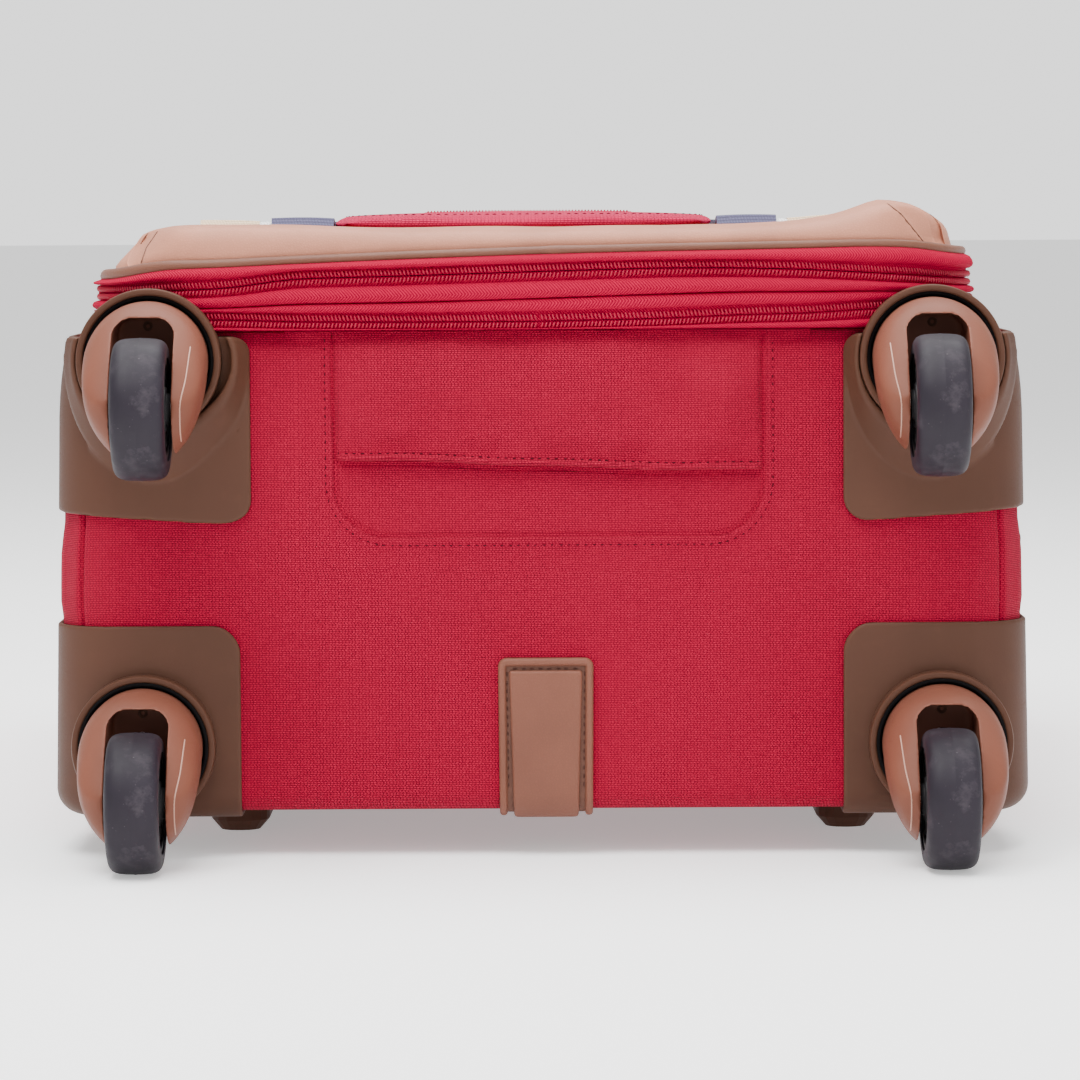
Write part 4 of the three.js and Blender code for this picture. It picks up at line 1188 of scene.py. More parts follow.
def rod(axis, r, a, b, lo, hi, sides=32):
    """A cylinder. (a, b) is its centre: (x, z) along y, (y, z) along x."""
    t = (np.arange(sides) + 0.37) / sides * TAU
    return prism(axis, np.column_stack([a + r * np.cos(t), b + r * np.sin(t)]), lo, hi)


def spline(keys, table):
    """Smooth rows between the rows of a table keyed by its first column."""
    table = np.array(table, float)
    x = table[:, 0]
    out = []
    for k in keys:
        i = min(max(np.searchsorted(x, k) - 1, 0), len(x) - 2)
        h = x[i + 1] - x[i]
        t = (k - x[i]) / h
        def slope(j):
            if j <= 0 or j >= len(x) - 1:
                return 0 * table[0]
            return (table[j + 1] - table[j - 1]) / (x[j + 1] - x[j - 1])
        m0, m1 = slope(i) * h, slope(i + 1) * h
        row = (2 * t**3 - 3 * t**2 + 1) * table[i] + (t**3 - 2 * t**2 + t) * m0 + (-2 * t**3
                + 3 * t**2) * table[i + 1] + (t**3 - t**2) * m1
        out.append(row)
    return np.array(out)


def fork():
    """The swivelling hood over the wheel: two cheeks joined by an arch, egg-shaped seen from outside."""
    table = [[7.4, 0, 21.5, 30.6, 21.5], [12, 0, 21.2, 35.6, 21.8], [20, -1, 19.3, 36.2, 21.9], [28, -5, 16.8,
            31.5, 21.6], [35, -9, 13, 25, 20.7],
             [40, -12.4, 8.6, 18, 18.6], [43, -13.8, 5.4, 12.6, 15.6], [44.4, -14.2, 3.6, 9, 13.2]]
    rings = [egg(0, 0, -d, 21.5, 21.5, 21.5, 72) for d in (0.3, 3.0, 6.4)]
    for d, c, ahead, behind, half in spline([7.4, 8.6, 10, 12, 14, 16, 18, 20, 22, 24, 26, 28, 30, 32, 34, 36,
                                             38, 40, 41.5, 43, 43.9, 44.4], table):
        rings.append(egg(0, c, -d, half, ahead, behind, 72))
    ob = scratch("fork", *loft(rings))
    arch = rrect(-10.93, -70.3, 10.93, 15.77, [0, 6.6, 6.6, 0], 12)
    cut(ob, "DIFFERENCE", scratch("arch", *prism("y", arch, -70, -3.4)))
    cut(ob, "DIFFERENCE", scratch("pin", *rod("y", 3.7, 0, 0, -10, 2)))
    cut(ob, "DIFFERENCE", scratch("axle", *rod("x", 3.15, -DROP, -TRAIL, -16.6, 16.6)))
    moulded(ob, 0.62, 4)
    return ob


def finished(ob, name, mat, angle=50):
    """Takes the mesh of a scratch object as shared data."""
    me = ob.data
    me.name = name
    me.materials.clear()
    me.materials.append(mat)
    for poly in me.polygons:
        poly.use_smooth = True
    if angle < 180:
        me.set_sharp_from_angle(angle=math.radians(angle))
    bpy.data.objects.remove(ob)
    return me


FORK = finished(fork(), "fork", HOOD, 55)


def collar(front):
    """The ring that a caster turns in. The front ones are cut flat at the case's front edge."""
    rim = -6.2 if front else -4.2
    inside = CASE_NEAR + 4.6 - SEAT
    pr = [(inside, 3.8), (0.25, 3.8), (0.25, 23.3), (rim + 0.5, 23.5), (rim + 0.15, 23.75), (rim, 24.2),
          (rim, 25.1), (rim + 0.2, 25.7), (rim + 0.8, 26.0),
          (-1.2, 26.0), (1.6, 26.0), (2.9, 26.0), (2.9, 9.5), (inside, 9.5)]
    ob = scratch("collar", *turned("y", pr, 112))
    if front:
        e = FRONT - CASTERS["front_left"][1]
        V, F = prism("y", [(-40, e), (40, e), (40, 40), (-40, 40)], -0.2, 20)
        cut(ob, "DIFFERENCE", scratch("edge", V, F))
    return ob


def case_solid(grow):
    """The case's own shape, grown: the guards are cut from it."""
    S0 = steps(CASE, START, START + CASE.length, 7.0, 1.0)[:-1]
    P, N = CASE.at(S0)
    rings = []
    r = FILLET + grow
    for z in [191.0, 188, 184, 179, 174, 168, 160, 130, 100, 70, 45, BACK + FILLET]:
        rings.append(np.column_stack([leaned(P + N * grow, z), np.full(len(P), z)]))
    for a in range(9, 91, 9):
        t = math.radians(a)
        rings.append(np.column_stack([P + N * (grow - r * (1 - math.cos(t))), np.full(len(P), BACK + FILLET
                - r * math.sin(t))]))
    return loft(rings[::-1])


def guard(front):
    """The right-hand guard; the left one is its mirror image."""
    cx, cz = CASTERS["front_right" if front else "rear_right"]
    low, high = (FRONT - 69.0, FRONT - 1.2) if front else (BACK - 10, BACK + 68.2)
    end = CASE_NEAR + 66
    ob = scratch("guard", *case_solid(2.3))
    cut(ob, "DIFFERENCE", scratch("hollow", *case_solid(0.25)))
    face = [0, 0, 6.5, 9] if front else [0, 0, 11, 0]
    side = [14, 6.5, 0, 0] if front else [0, 14, 0, 0]
    outline = rrect(109, low, 200, high, face, 10)
    if front:
        outline[(outline[:, 0] > 150) & (outline[:, 1] < low + 1), 1] += 5.5  # the lower edge climbs outwards
    cut(ob, "INTERSECT", scratch("face", *prism("y", outline, -240, end + 1)))
    cut(ob, "INTERSECT", scratch("side", *prism("x", rrect(-240, low, end, high, side, 10), 100, 200)))
    if front:
        foot = CASE_NEAR - 0.7
        keys = [(0, 31.6, 45.0), (-0.9, 31.2, 44.4), (-2.6, 30.6, 43), (-4.6, 29.6, 39.5), (-6.5, 28.7, 36),
                (-8.4, 28.0, 32), (-9.1, 27.3, 30)]
        rings = [egg(cx, cz, foot + d, h, h, b, 72) for d, h, b in keys]
        seat = scratch("seat", *loft(rings))
        V, F = prism("y", [(90, 100), (200, 100), (200, FRONT - 1.2), (90, FRONT - 1.2)], -240, -200)
        cut(seat, "INTERSECT", scratch("cutoff", V, F))
        cut(seat, "INTERSECT", scratch("corner", *prism("y", outline, -240, -200)))
        cut(ob, "UNION", seat)
    else:
        V, F = prism("z", rrect(109, -240, 200, end, [0, 0, 14, 0], 10), -10, 200)
        cut(ob, "INTERSECT", scratch("back", V, F))
    cut(ob, "DIFFERENCE", scratch("deep", *rod("y", 9.8, cx, cz, -240, CASE_NEAR + 1, 48)))
    cut(ob, "DIFFERENCE", scratch("bore", *rod("y", 26.25 if front else 9.8, cx, cz, -240, SEAT + 3.2 if front
                                               else CASE_NEAR + 1, 96)))
    moulded(ob, 0.75, 5)
    return ob


def mirrored(me, name):
    out = me.copy()
    out.name = name
    out.vertices.foreach_set("co", (read(out.vertices, "co", 3) * np.float32((-1, 1, 1))).ravel())
    out.flip_normals()
    return out


tyre_pr = [(9.5, 18.3), (9.5, 21.2), (9.35, 22.1), (8.95, 23.0), (8.2, 23.85), (7.1, 24.45), (5.6, 24.85),
           (3.3, 25.05), (0.6, 25.12), (0.25, 25.2)]
tyre_pr = tyre_pr + [(-a, r) for a, r in tyre_pr[::-1]]
TYRE = finished(scratch("tyre", *turned("x", tyre_pr, 120)), "tyre", RUBBER, 60)


def hub():
    pr = [(10.5, 3.15), (10.5, 5.0), (10.1, 5.5), (9.2, 5.8), (9.2, 7.4), (8.8, 7.9), (6.3, 8.3), (5.6, 9.2),
          (5.6, 14.6), (6.3, 15.3), (8.4, 15.7), (8.8, 16.2), (8.8, 18.1)]
    pr = pr + [(-a, r) for a, r in pr[::-1]]
    ob = scratch("hub", *turned("x", pr, 72))
    for k in range(6):
        a = k / 6 * TAU
        c, s = math.cos(a), math.sin(a)
        V, F = prism("x", [(8 * c - 0.9 * s, 8 * s + 0.9 * c), (8 * c + 0.9 * s, 8 * s - 0.9 * c),
                           (15.6 * c + 0.9 * s, 15.6 * s - 0.9 * c), (15.6 * c - 0.9 * s, 15.6 * s
                + 0.9 * c)], -8.2, 8.2)
        cut(ob, "UNION", scratch("spoke", V, F))
    return ob


HUB = finished(hub(), "hub", BLACK, 35)
COLLAR = {True: finished(collar(True), "collar_front", GUARD, 45), False: finished(collar(False),
        "collar_rear", GUARD, 45)}
GUARDS = {}
for front in (True, False):
    right = finished(guard(front), "guard_right", GUARD, 60)
    GUARDS[front, 1] = right
    GUARDS[front, -1] = mirrored(right, "guard_left")
# the front left one reaches further in
co = read(GUARDS[True, -1].vertices, "co", 3)
co[:, 0] += 0.0044 * smooth(-0.1235, -0.1100, co[:, 0])
moved(GUARDS[True, -1], co)
# a near-black ring and disc inside each collar, under the hood: painted shadow of the gap
gap_shadow_pr = [(0.18, 3.95), (-0.1, 3.95), (-0.1, 22.3), (-4.2, 22.3), (-4.5, 22.6), (-4.5, 23.5), (0.18, 23.2)]
GAP_SHADOW_RING = finished(scratch("seal", *turned("y", gap_shadow_pr, 96)), "seal", SHADOW, 60)
V, F = turned("y", [(-3.1, 1.75), (-3.5, 1.75), (-3.75, 1.45), (-3.6, 0.95), (-3.35, 0.6), (-3.1, 0.6)], 28)
RIVET = finished(scratch("rivet", V, F), "rivet", GUARD, 60)


def hit_from(me, origin, direction):
    """A function giving the y at which a ray from y = origin meets a mesh, at (x, z)."""
    tree = BVHTree.FromPolygons([v.co.copy() for v in me.vertices], [list(p.vertices) for p in me.polygons])
    def at(x, z):
        h = tree.ray_cast(Vector((x, origin, z)) * 0.001, Vector(direction))
        return h[0].y * 1000 if h[0] is not None else None
    return at


# a thin bead along the ridge where each hood's cheek flattens, its pale tan a painted highlight on the ridge
_fork_face = hit_from(FORK, -80.0, (0, 1, 0))
_line = []
for x, z in spline(np.linspace(-5.6, 27.5, 26), [[-5.6, 16.9, 5.8], [5, 15.9, -5], [13.3, 14.3, -13.3],
                                                 [20, 14.0, -20], [27.5, 13.9, -27.5]])[:, 1:]:
    y = _fork_face(x, z)
    if y is not None:
        _line.append((x, y + 0.05, z))
V1, F1 = bead(_line, 0.28)
V2 = V1 * (-1, 1, 1)
MARK = finished(scratch("mould_line", V1, F1), "mould_line", MOULD_LINE_HIGHLIGHT, 180)
MARK_L = finished(scratch("mould_line", V2, F1), "mould_line_left", MOULD_LINE_HIGHLIGHT, 180)

for name, (cx, cz) in CASTERS.items():
    front, side = name.startswith("front"), 1 if cx > 0 else -1
    at = (cx, SEAT, cz)
    ob = place(f"fork_hood_{name}", FORK, HOOD, f"caster_{name}", at=at, angle=180)
    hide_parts(f"fork_{name}")
    place(f"fork_mould_line_{name}", MARK_L if side > 0 else MARK, MOULD_LINE_HIGHLIGHT, f"caster_{name}", at=at,
          angle=180)
    place(f"fork_rivet_{name}", RIVET, GUARD, f"caster_{name}", at=(cx, SEAT, cz + 12.6), angle=180)
    ob = place(f"collar_{name}", COLLAR[front], GUARD, "case", at=at, angle=180)
    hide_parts(f"caster_collar_{name}")
    place(f"collar_seal_{name}", GAP_SHADOW_RING, SHADOW, "case", at=at, angle=180)
    wheel = (cx, SEAT - DROP, cz - TRAIL)
    ob = place(f"wheel_tyre_{name}", TYRE, RUBBER, f"wheel_{name}", at=wheel, angle=180)
    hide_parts(f"tyre_{name}")
    V, F = turned("x", [(-16.3, 0.001), (-16.3, 2.6), (-15.9, 3.0), (15.9, 3.0), (16.3, 2.6), (16.3, 0.001)],
                  32)
    ob = outward(piece(f"axle_pin_{name}", V, F, STEEL, f"caster_{name}", at=wheel, angle=50))
    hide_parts(f"axle_{name}")
    ob = place(f"wheel_core_{name}", HUB, BLACK, f"wheel_{name}", at=wheel, angle=180)
    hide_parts(f"wheel_hub_{name}")
    ob = place(f"guard_{name}", GUARDS[front, side], GUARD, "case", at=(0, 0, 0), angle=180)
    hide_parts(f"corner_guard_{name}")


# ---------------------------------------------------------------- the wheel end: pocket, tab, stitches
def tree_of(ob):
    me = ob.data
    return BVHTree.FromPolygons([(np.array(ob.matrix_world @ v.co) - OFFSET) * 1000 for v in me.vertices],
                                [list(p.vertices) for p in me.polygons])


_body_tree = tree_of(body)


def wall_y(x, z):
    """The cloth's face on the wheel end at (x, z), in millimetres."""
    h = _body_tree.ray_cast(Vector((x, -400, z)), Vector((0, 1, 0)))
    return h[0].y if h[0] is not None else CASE_NEAR


def stitches(name, rows, mat, body, r=0.24, pitch=3.0, length=2.1):
    """Short threads set end to end along paths of 3-D points in millimetres, slightly sunk at their ends."""
    parts = []
    for path, normal in rows:
        P = np.array(path, float)
        seg = np.linalg.norm(np.diff(P, axis=0), axis=1)
        cum = np.concatenate([[0], np.cumsum(seg)])
        count = int(cum[-1] / pitch)
        for i in range(count):
            c = (i + 0.5) * pitch
            k = np.linspace(-0.5, 0.5, 5)
            jit = 0.25 * math.sin(i * 2.4) * math.cos(i * 0.7)
            s = np.clip(c + jit + k * length, 0, cum[-1])
            Q = np.column_stack([np.interp(s, cum, P[:, d]) for d in range(3)])
            nv = np.array(normal, float)
            Q += nv * (0.22 * (1 - (2 * k) ** 2) - 0.04)[:, None]
            T = Q[-1] - Q[0]
            T /= np.linalg.norm(T) + 1e-9
            A = np.cross(T, nv)
            A /= np.linalg.norm(A) + 1e-9
            B = np.cross(T, A)
            t = np.arange(6) / 6 * TAU
            rr = r * np.array([0.35, 0.9, 1.0, 0.9, 0.35])
            V = Q[:, None] + rr[:, None, None] * (np.cos(t)[None, :, None] * A + np.sin(t)[None, :, None] * B)
            parts.append((V.reshape(-1, 3), skin(5, 6, close_v=True) + caps(5, 6)))
    V, F = joined(parts)
    ob = outward(piece(name, V, F, mat, body, angle=180))
    box_uv(ob.data)
    return ob


POCKET_LEFT, POCKET_RIGHT, POCKET_LOW, POCKET_CORNER = -75.0, 81.0, 116.0, 20.5


def pocket_edge(x, z):
    """Signed distance out of the pocket's U-shaped opening."""
    x0 = POCKET_LEFT - 1.0 * smooth(140, 190, z)
    cx, hx = (x0 + POCKET_RIGHT) / 2, (POCKET_RIGHT - x0) / 2 - POCKET_CORNER
    dx = np.abs(x - cx) - hx
    dz = (POCKET_LOW + POCKET_CORNER) - z
    return np.where((dx > 0) & (dz > 0), np.hypot(dx, dz), np.maximum(dx, dz)) - POCKET_CORNER


def slit(x):
    """The height of the pocket's sloping slit."""
    return 144.4 - 4.2 * smooth(POCKET_LEFT, POCKET_RIGHT, x) - 0.5 * np.sin(np.clip((x - POCKET_LEFT)
            / (POCKET_RIGHT - POCKET_LEFT), 0, 1) * math.pi) + 0.25 * np.sin(x / 9.0)


def pocket_height(x, z):
    """How far the cloth stands out: flap above the slit, panel below it, and the sewn edge round both."""
    d = pocket_edge(x, z)
    out = (1.15 * np.exp(-(np.maximum(d, 0) / 4.6) ** 2)
           - 0.34 * np.exp(-((d - 2.7) / 0.5) ** 2) * (0.65 + 0.35 * np.sin((x + z) * 2.1))
           - 0.15 * np.sin((x - z) * 2.05) * np.exp(-((d - 2.4) / 1.1) ** 2))
    s = slit(x)
    above = z - s
    u = np.clip(above / (190 - s), 0, 1)
    side = np.clip(-d / 14, 0, 1)
    swell = (0.25 + 3.9 * np.sin(math.pi * np.clip(u * 0.86 + 0.14, 0, 1)) ** 0.8 * side ** 0.6)
    pts = np.stack([x, np.zeros_like(x), z], -1)
    soft = 2.3 * wobble(pts, 28, 2.2) + 0.6 * wobble(pts, 11, 5.1)
    drape = 2.2 * np.sin((x * 0.72 + z * 0.9) / 7.6 + 1.1 * wobble(pts, 45, 7.3)) * smooth(30, 60,
            x) * smooth(150, 160, z) * (1 - smooth(168, 182, z))
    dimple = -1.1 * (0.5 + 0.5 * np.sin(x / 4.6 + 2 * wobble(pts, 30, 1.0))) * np.exp(-((above - 5.5)
            / 3.2) ** 2)
    flap = 0.55 + swell + (soft + drape + dimple) * side * smooth(0, 4, above)
    hem = 1.5 * np.exp(-((above - 1.15) / 0.95) ** 2) - 0.3 * np.exp(-((above - 2.75) / 0.4) ** 2) * (0.7
            + 0.3 * np.sin(x * 2.1))
    flap = flap + hem * smooth(0.0, 2.0, -d)
    low = 0.1 + 0.35 * side * np.sin(math.pi * np.clip((z - POCKET_LOW) / (s - POCKET_LOW), 0,
                                                       1)) + 0.35 * wobble(pts, 26, 8.8) * side
    low = low - 2.4 * np.exp(-((above + 0.7) / 0.75) ** 2) * smooth(1, 4, -d)
    inside = low + (flap - low) * smooth(-0.32, 0.28, above)
    inside = inside * (0.35 + 0.65 * smooth(0.3, 3.5, -d)) - 1.5 * np.exp(-((d + 0.6) / 0.6) ** 2)
    return inside + (out - inside) * smooth(-0.45, 0.3, d)


xs = np.arange(POCKET_LEFT - 17, POCKET_RIGHT + 17.1, 0.8)
zs = np.concatenate([np.arange(POCKET_LOW - 16, 138, 0.8), np.arange(138, 149, 0.35), np.arange(149, FRONT
        + 0.2, 0.8), [FRONT + 0.3]])
X, Z = np.meshgrid(xs, zs, indexing="ij")
coarse_x, coarse_z = np.arange(xs[0] - 1, xs[-1] + 5, 4.0), np.arange(zs[0] - 1, FRONT - 1.0, 4.0)
base = np.array([[wall_y(a, b) for b in coarse_z] for a in coarse_x])


def bilinear(x, z):
    i = np.clip((x - coarse_x[0]) / 4.0, 0, len(coarse_x) - 1.001)
    j = np.clip((z - coarse_z[0]) / 4.0, 0, len(coarse_z) - 1.001)
    a, b = i.astype(int), j.astype(int)
    u, v = i - a, j - b
    return base[a, b] * (1 - u) * (1 - v) + base[a + 1, b] * u * (1 - v) + base[a, b + 1] * (1
            - u) * v + base[a + 1, b + 1] * u * v


H = pocket_height(X, Z)
rimd = np.minimum(np.minimum(X - xs[0], xs[-1] - X), Z - zs[0])
H = H * smooth(FRONT + 2.5, FRONT - 5, Z) ** 0.5 + 0.12
H = H - 0.75 * (1 - smooth(0.0, 5.0, rimd))
Yp = bilinear(X, Z) - H
V = np.stack([X, Yp, Z], -1)
n, m = X.shape
back = V.copy()
back[..., 1] = np.maximum(Yp, bilinear(X, Z)) + 0.9
front_f, back_f = skin(n, m, flip=True), skin(n, m, base=n * m)
edge_i = [i * m for i in range(n)] + [(n - 1) * m + j for j in range(1, m)] + [i * m + m - 1 for i in range(n
        - 2, -1, -1)] + [j for j in range(m - 2, 0, -1)]
F = front_f + back_f + [[edge_i[k], edge_i[(k + 1) % len(edge_i)], edge_i[(k + 1) % len(edge_i)] + n * m,
                         edge_i[k] + n * m] for k in range(len(edge_i))]
pocket = outward(piece("end_pocket", np.concatenate([V.reshape(-1, 3), back.reshape(-1, 3)]), F, RED, "case",
                       angle=75))
box_uv(pocket.data)
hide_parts("bottom_pocket")


STITCH_PROUD = 0.1  # how far the stitches stand out from the cloth


def on_end(x, z):
    """Points on the pocket's cloth, where the stitches lie."""
    x, z = np.atleast_1d(x).astype(float), np.atleast_1d(z).astype(float)
    return np.column_stack([x, bilinear(x, z) - pocket_height(x, z) - STITCH_PROUD, z])


r = POCKET_CORNER + 2.7
arc = np.linspace(0, math.pi / 2, 18)
left_x, right_x = POCKET_LEFT - 2.7, POCKET_RIGHT + 2.7
path_x = np.concatenate([np.full(24, left_x), left_x + r - r * np.cos(arc), np.linspace(left_x + r, right_x
        - r, 60)[1:-1], right_x - r + r * np.sin(arc), np.full(24, right_x)])
path_z = np.concatenate([np.linspace(189, POCKET_LOW + POCKET_CORNER, 24), POCKET_LOW + POCKET_CORNER
                         - r * np.sin(arc), np.full(58, POCKET_LOW - 2.7), POCKET_LOW + POCKET_CORNER
                         - r * np.cos(arc), np.linspace(POCKET_LOW + POCKET_CORNER, 189, 24)])
hx = np.linspace(POCKET_LEFT + 1.0, POCKET_RIGHT - 1.0, 90)
stitches("pocket_stitches", [(on_end(path_x, path_z), (0, -1, 0)), (on_end(hx, slit(hx) + 2.75), (0, -1, 0))],
         THREAD, "case", r=0.26, pitch=3.05, length=1.4)


# the tab: a moulded leather patch that curls over the back edge, with a strap laid on it
def over_edge(x, v, h):
    """From (x, distance along the cloth from z = 72.3, height) to the case.

    The path runs down the end, round the edge and along the back.
    """
    wall, arc_len = 72.3 - (BACK + FILLET), math.pi / 2 * FILLET
    a = np.clip((v - wall) / FILLET, 0, math.pi / 2)
    rest = np.maximum(v - wall - arc_len, 0)
    y = CASE_NEAR + FILLET - (FILLET + h) * np.cos(a) + rest
    z = np.where(v < wall, 72.3 - v, BACK + FILLET - (FILLET + h) * np.sin(a))
    y = np.where(v < wall, CASE_NEAR - h, y)
    return np.stack([x + np.zeros_like(y), y, z], -1)


def patch(name, half_top, half_low, v0, v1, r, layers, mat, cx, body_name="case"):
    """A rounded strip laid over the edge: layers are (inset, height) from its outline inwards."""
    long_n, top_n, corner = 72, 12, 7
    def outline(inset):
        rr = max(r - inset, 0.15)
        w, a, b = half_top - inset, v0 + inset, v1 - inset
        pts = []
        for (sx, vv, a0) in ((1, a, -90), (1, b, 0), (-1, b, 90), (-1, a, 180)):
            ccx, ccv = sx * (w - rr), vv + rr if vv == a else vv - rr
            ang = np.radians(np.linspace(a0, a0 + 90, corner))
            pts.append(np.column_stack([ccx + rr * np.cos(ang), ccv + rr * np.sin(ang)]))
            nxt = {(1, a): long_n, (1, b): top_n, (-1, b): long_n, (-1, a): top_n}[(sx, vv)]
            pts.append(nxt)
        out = []
        for i in range(0, 8, 2):
            out.append(pts[i])
            start, end = pts[i][-1], pts[(i + 2) % 8][0]
            k = np.linspace(0, 1, pts[i + 1] + 2)[1:-1, None]
            out.append(start + (end - start) * k)
        return np.concatenate(out)
    rings, uvs = [], []
    for inset, h in layers:
        o = outline(inset)
        k = np.clip((o[:, 1] - v0) / (v1 - v0), 0, 1)
        x = o[:, 0] * (1 + (half_low / half_top - 1) * np.clip(k * (v1 - v0) / 55, 0, 1.2))
        rings.append(over_edge(cx + x, o[:, 1], np.full(len(o), h)))
        uvs.append(np.column_stack([x, o[:, 1]]))
    o = outline(layers[-1][0])
    for t in (0.35, 0.7, 1.0):
        x = o[:, 0] * (1 - t)
        v = np.clip(o[:, 1], v0 + half_top * t * 0.9, v1 - half_top * t * 0.9)
        rings.append(over_edge(cx + x, v, np.full(len(o), layers[-1][1])))
    under = outline(layers[0][0])
    low = []
    for t in (1.0, 0.5, 0.0):
        x = under[:, 0] * (1 + (half_low / half_top - 1) * np.clip((under[:, 1] - v0) / 55, 0, 1.2)) * (1 - t)
        v = np.clip(under[:, 1], v0 + half_top * t * 0.9, v1 - half_top * t * 0.9)
        low.append(over_edge(cx + x, v, np.full(len(under), -0.5)))
    V, F = loft(np.array(low + rings), ends=False)
    ob = fix(piece(name, V, F, mat, body_name, angle=50))
    box_uv(ob.data)
    return ob


TAB_X = 1.3
base_tab = patch("tab_base", 17.3, 16.9, 0.0, 98.0, 3.2, [(0, 0.3), (0.0, 1.5), (0.25, 2.0), (0.8, 2.35),
                                                          (1.5, 2.45), (2.2, 2.3), (2.65, 1.85), (2.85, 1.2),
                                                          (3.1, 1.0), (4.6, 1.0)], TAN, TAB_X)
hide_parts("leather_tab")
patch("tab_groove", 14.4, 14.0, 2.9, 95.1, 1.0, [(0, 0.6), (0.0, 1.06), (0.3, 1.14), (2.0, 1.14)], TAN_GROOVE_AND_FOLD_SHADOW,
      TAB_X)
patch("tab_strap", 13.3, 11.7, 4.5, 93.5, 1.2, [(0, 0.6), (0.0, 1.9), (0.2, 2.5), (0.6, 2.85), (1.2, 3.0),
                                                (3.0, 3.1)], TAN, TAB_X)
v = np.linspace(4.2, 50, 40)
w = 14.15 + (13.55 - 14.15) * v / 55
rows = [(over_edge(TAB_X - w, v, np.full(40, 1.2)), (0, -1, 0)), (over_edge(TAB_X + w, v, np.full(40, 1.2)),
                                                                  (0, -1, 0)),
        (over_edge(TAB_X + np.linspace(-12.6, 12.6, 24), np.full(24, 3.85), np.full(24, 1.25)), (0, -1, 0))]
DARK_THREAD = cloth("brown_thread", srgb(74, 40, 34), width=0.5, row=0.2, sheen=0.1, tint=(1, 0.9, 0.8),
                    depth=0.0001)
stitches("tab_stitches", rows, DARK_THREAD, "case", r=0.26, pitch=3.1, length=1.7)


# ---------------------------------------------------------------- front pocket
pouch = pillow("front_pouch", -77.6, -146, 66, 190, 14, 227.0, 231.0, RED_LID_LIT, "lid", edge=2.2, dome=2.2,
               slope=1.0)
puffed(pouch, cap=1.0, voxel=4.5)
box_uv(pouch.data)
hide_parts("front_pocket")
pouch_top = heights(pouch)


def welt(name, pts, r, mat, body, sides=10, flat=1.0):
    """A cord, or a strip where flat is small, along a path."""
    P = np.array(pts, float)
    T = np.gradient(P, axis=0)
    T /= np.linalg.norm(T, axis=1)[:, None]
    A = np.cross(T, [0, 0, 1.0])
    A /= np.linalg.norm(A, axis=1)[:, None] + 1e-9
    B = np.cross(A, T)
    a = np.arange(sides) / sides * TAU
    V = P[:, None] + r * (np.cos(a)[None, :, None] * A[:, None] + flat * np.sin(a)[None, :, None] * B[:,
            None])
    run = np.concatenate([[0], np.cumsum(np.linalg.norm(np.diff(P, axis=0), axis=1))])
    uv = np.stack([np.repeat(run[:, None], sides, 1), np.repeat(r * np.cos(a)[None], len(P), 0)],
                  -1).reshape(-1, 2)
    ob = outward(piece(name, V.reshape(-1, 3), skin(len(P), sides, close_v=True) + caps(len(P), sides), mat,
                       body, angle=60, uv=uv))
    return ob


zx = np.linspace(-50, 40, 46)
zpath = np.array([(x, 150.0, pouch_top(x, 150.0, 230) - 0.1) for x in zx])
welt("pouch_zip_tape", zpath, 5.2, TAPE, "lid", 12, 0.14)
parts = []
for i in range(63):
    x = -49 + i * 1.4
    h = float(np.interp(x, zx, zpath[:, 2])) + 0.7
    for sgn in (-1, 1):
        parts.append(bead(np.array([(x, 150 + sgn * 0.1, h), (x + 0.4, 150 + sgn * 0.9, h + 0.25),
                                    (x + 0.7, 150 + sgn * 1.8, h - 0.1)]), 0.4, 6))
V, F = joined(parts)
outward(piece("pouch_zip_coil", V, F, COIL, "lid", angle=180))


def along_lid(points, lift, top=pad_top):
    return np.array([(x, y, top(x, y, 227.0) + lift) for x, y in points])


rim = rrect(-73.0, -134, 61.5, 186.0, 12, 8)
rim = np.concatenate([rim, rim[:1]])
_cum = np.concatenate([[0], np.cumsum(np.linalg.norm(np.diff(rim, axis=0), axis=1))])
_at = np.arange(0, _cum[-1], 3.0)
rim = np.column_stack([np.interp(_at, _cum, rim[:, 0]), np.interp(_at, _cum, rim[:, 1])])
stitches("pouch_stitches", [(along_lid(rim, 0.0, pouch_top), (0, 0, 1))], THREAD, "lid", r=0.2, pitch=3.05,
         length=1.7)
ys = np.arange(-140, 241, 4.0)
rows = []
for x in (-78.3, -98.2, 67.2, 86.2):
    rows.append((np.column_stack([np.full(len(ys), x), ys, [heights_navy(x, y, 229.0) for y in ys]]),
                 (0, 0, 1)))
stitches("strap_stitches", rows, NAVY_THREAD, "lid", r=0.25, pitch=3.2, length=2.1)


# ---------------------------------------------------------------- carry handles
def place_side(V, along):
    """Handle coordinates (u across, v out of the panel, z) to the handle end or the right side."""
    u, v, z = V.T
    return np.column_stack([u, 255.0 + v, z]) if along == "x" else np.column_stack([176.0 + v, u, z])


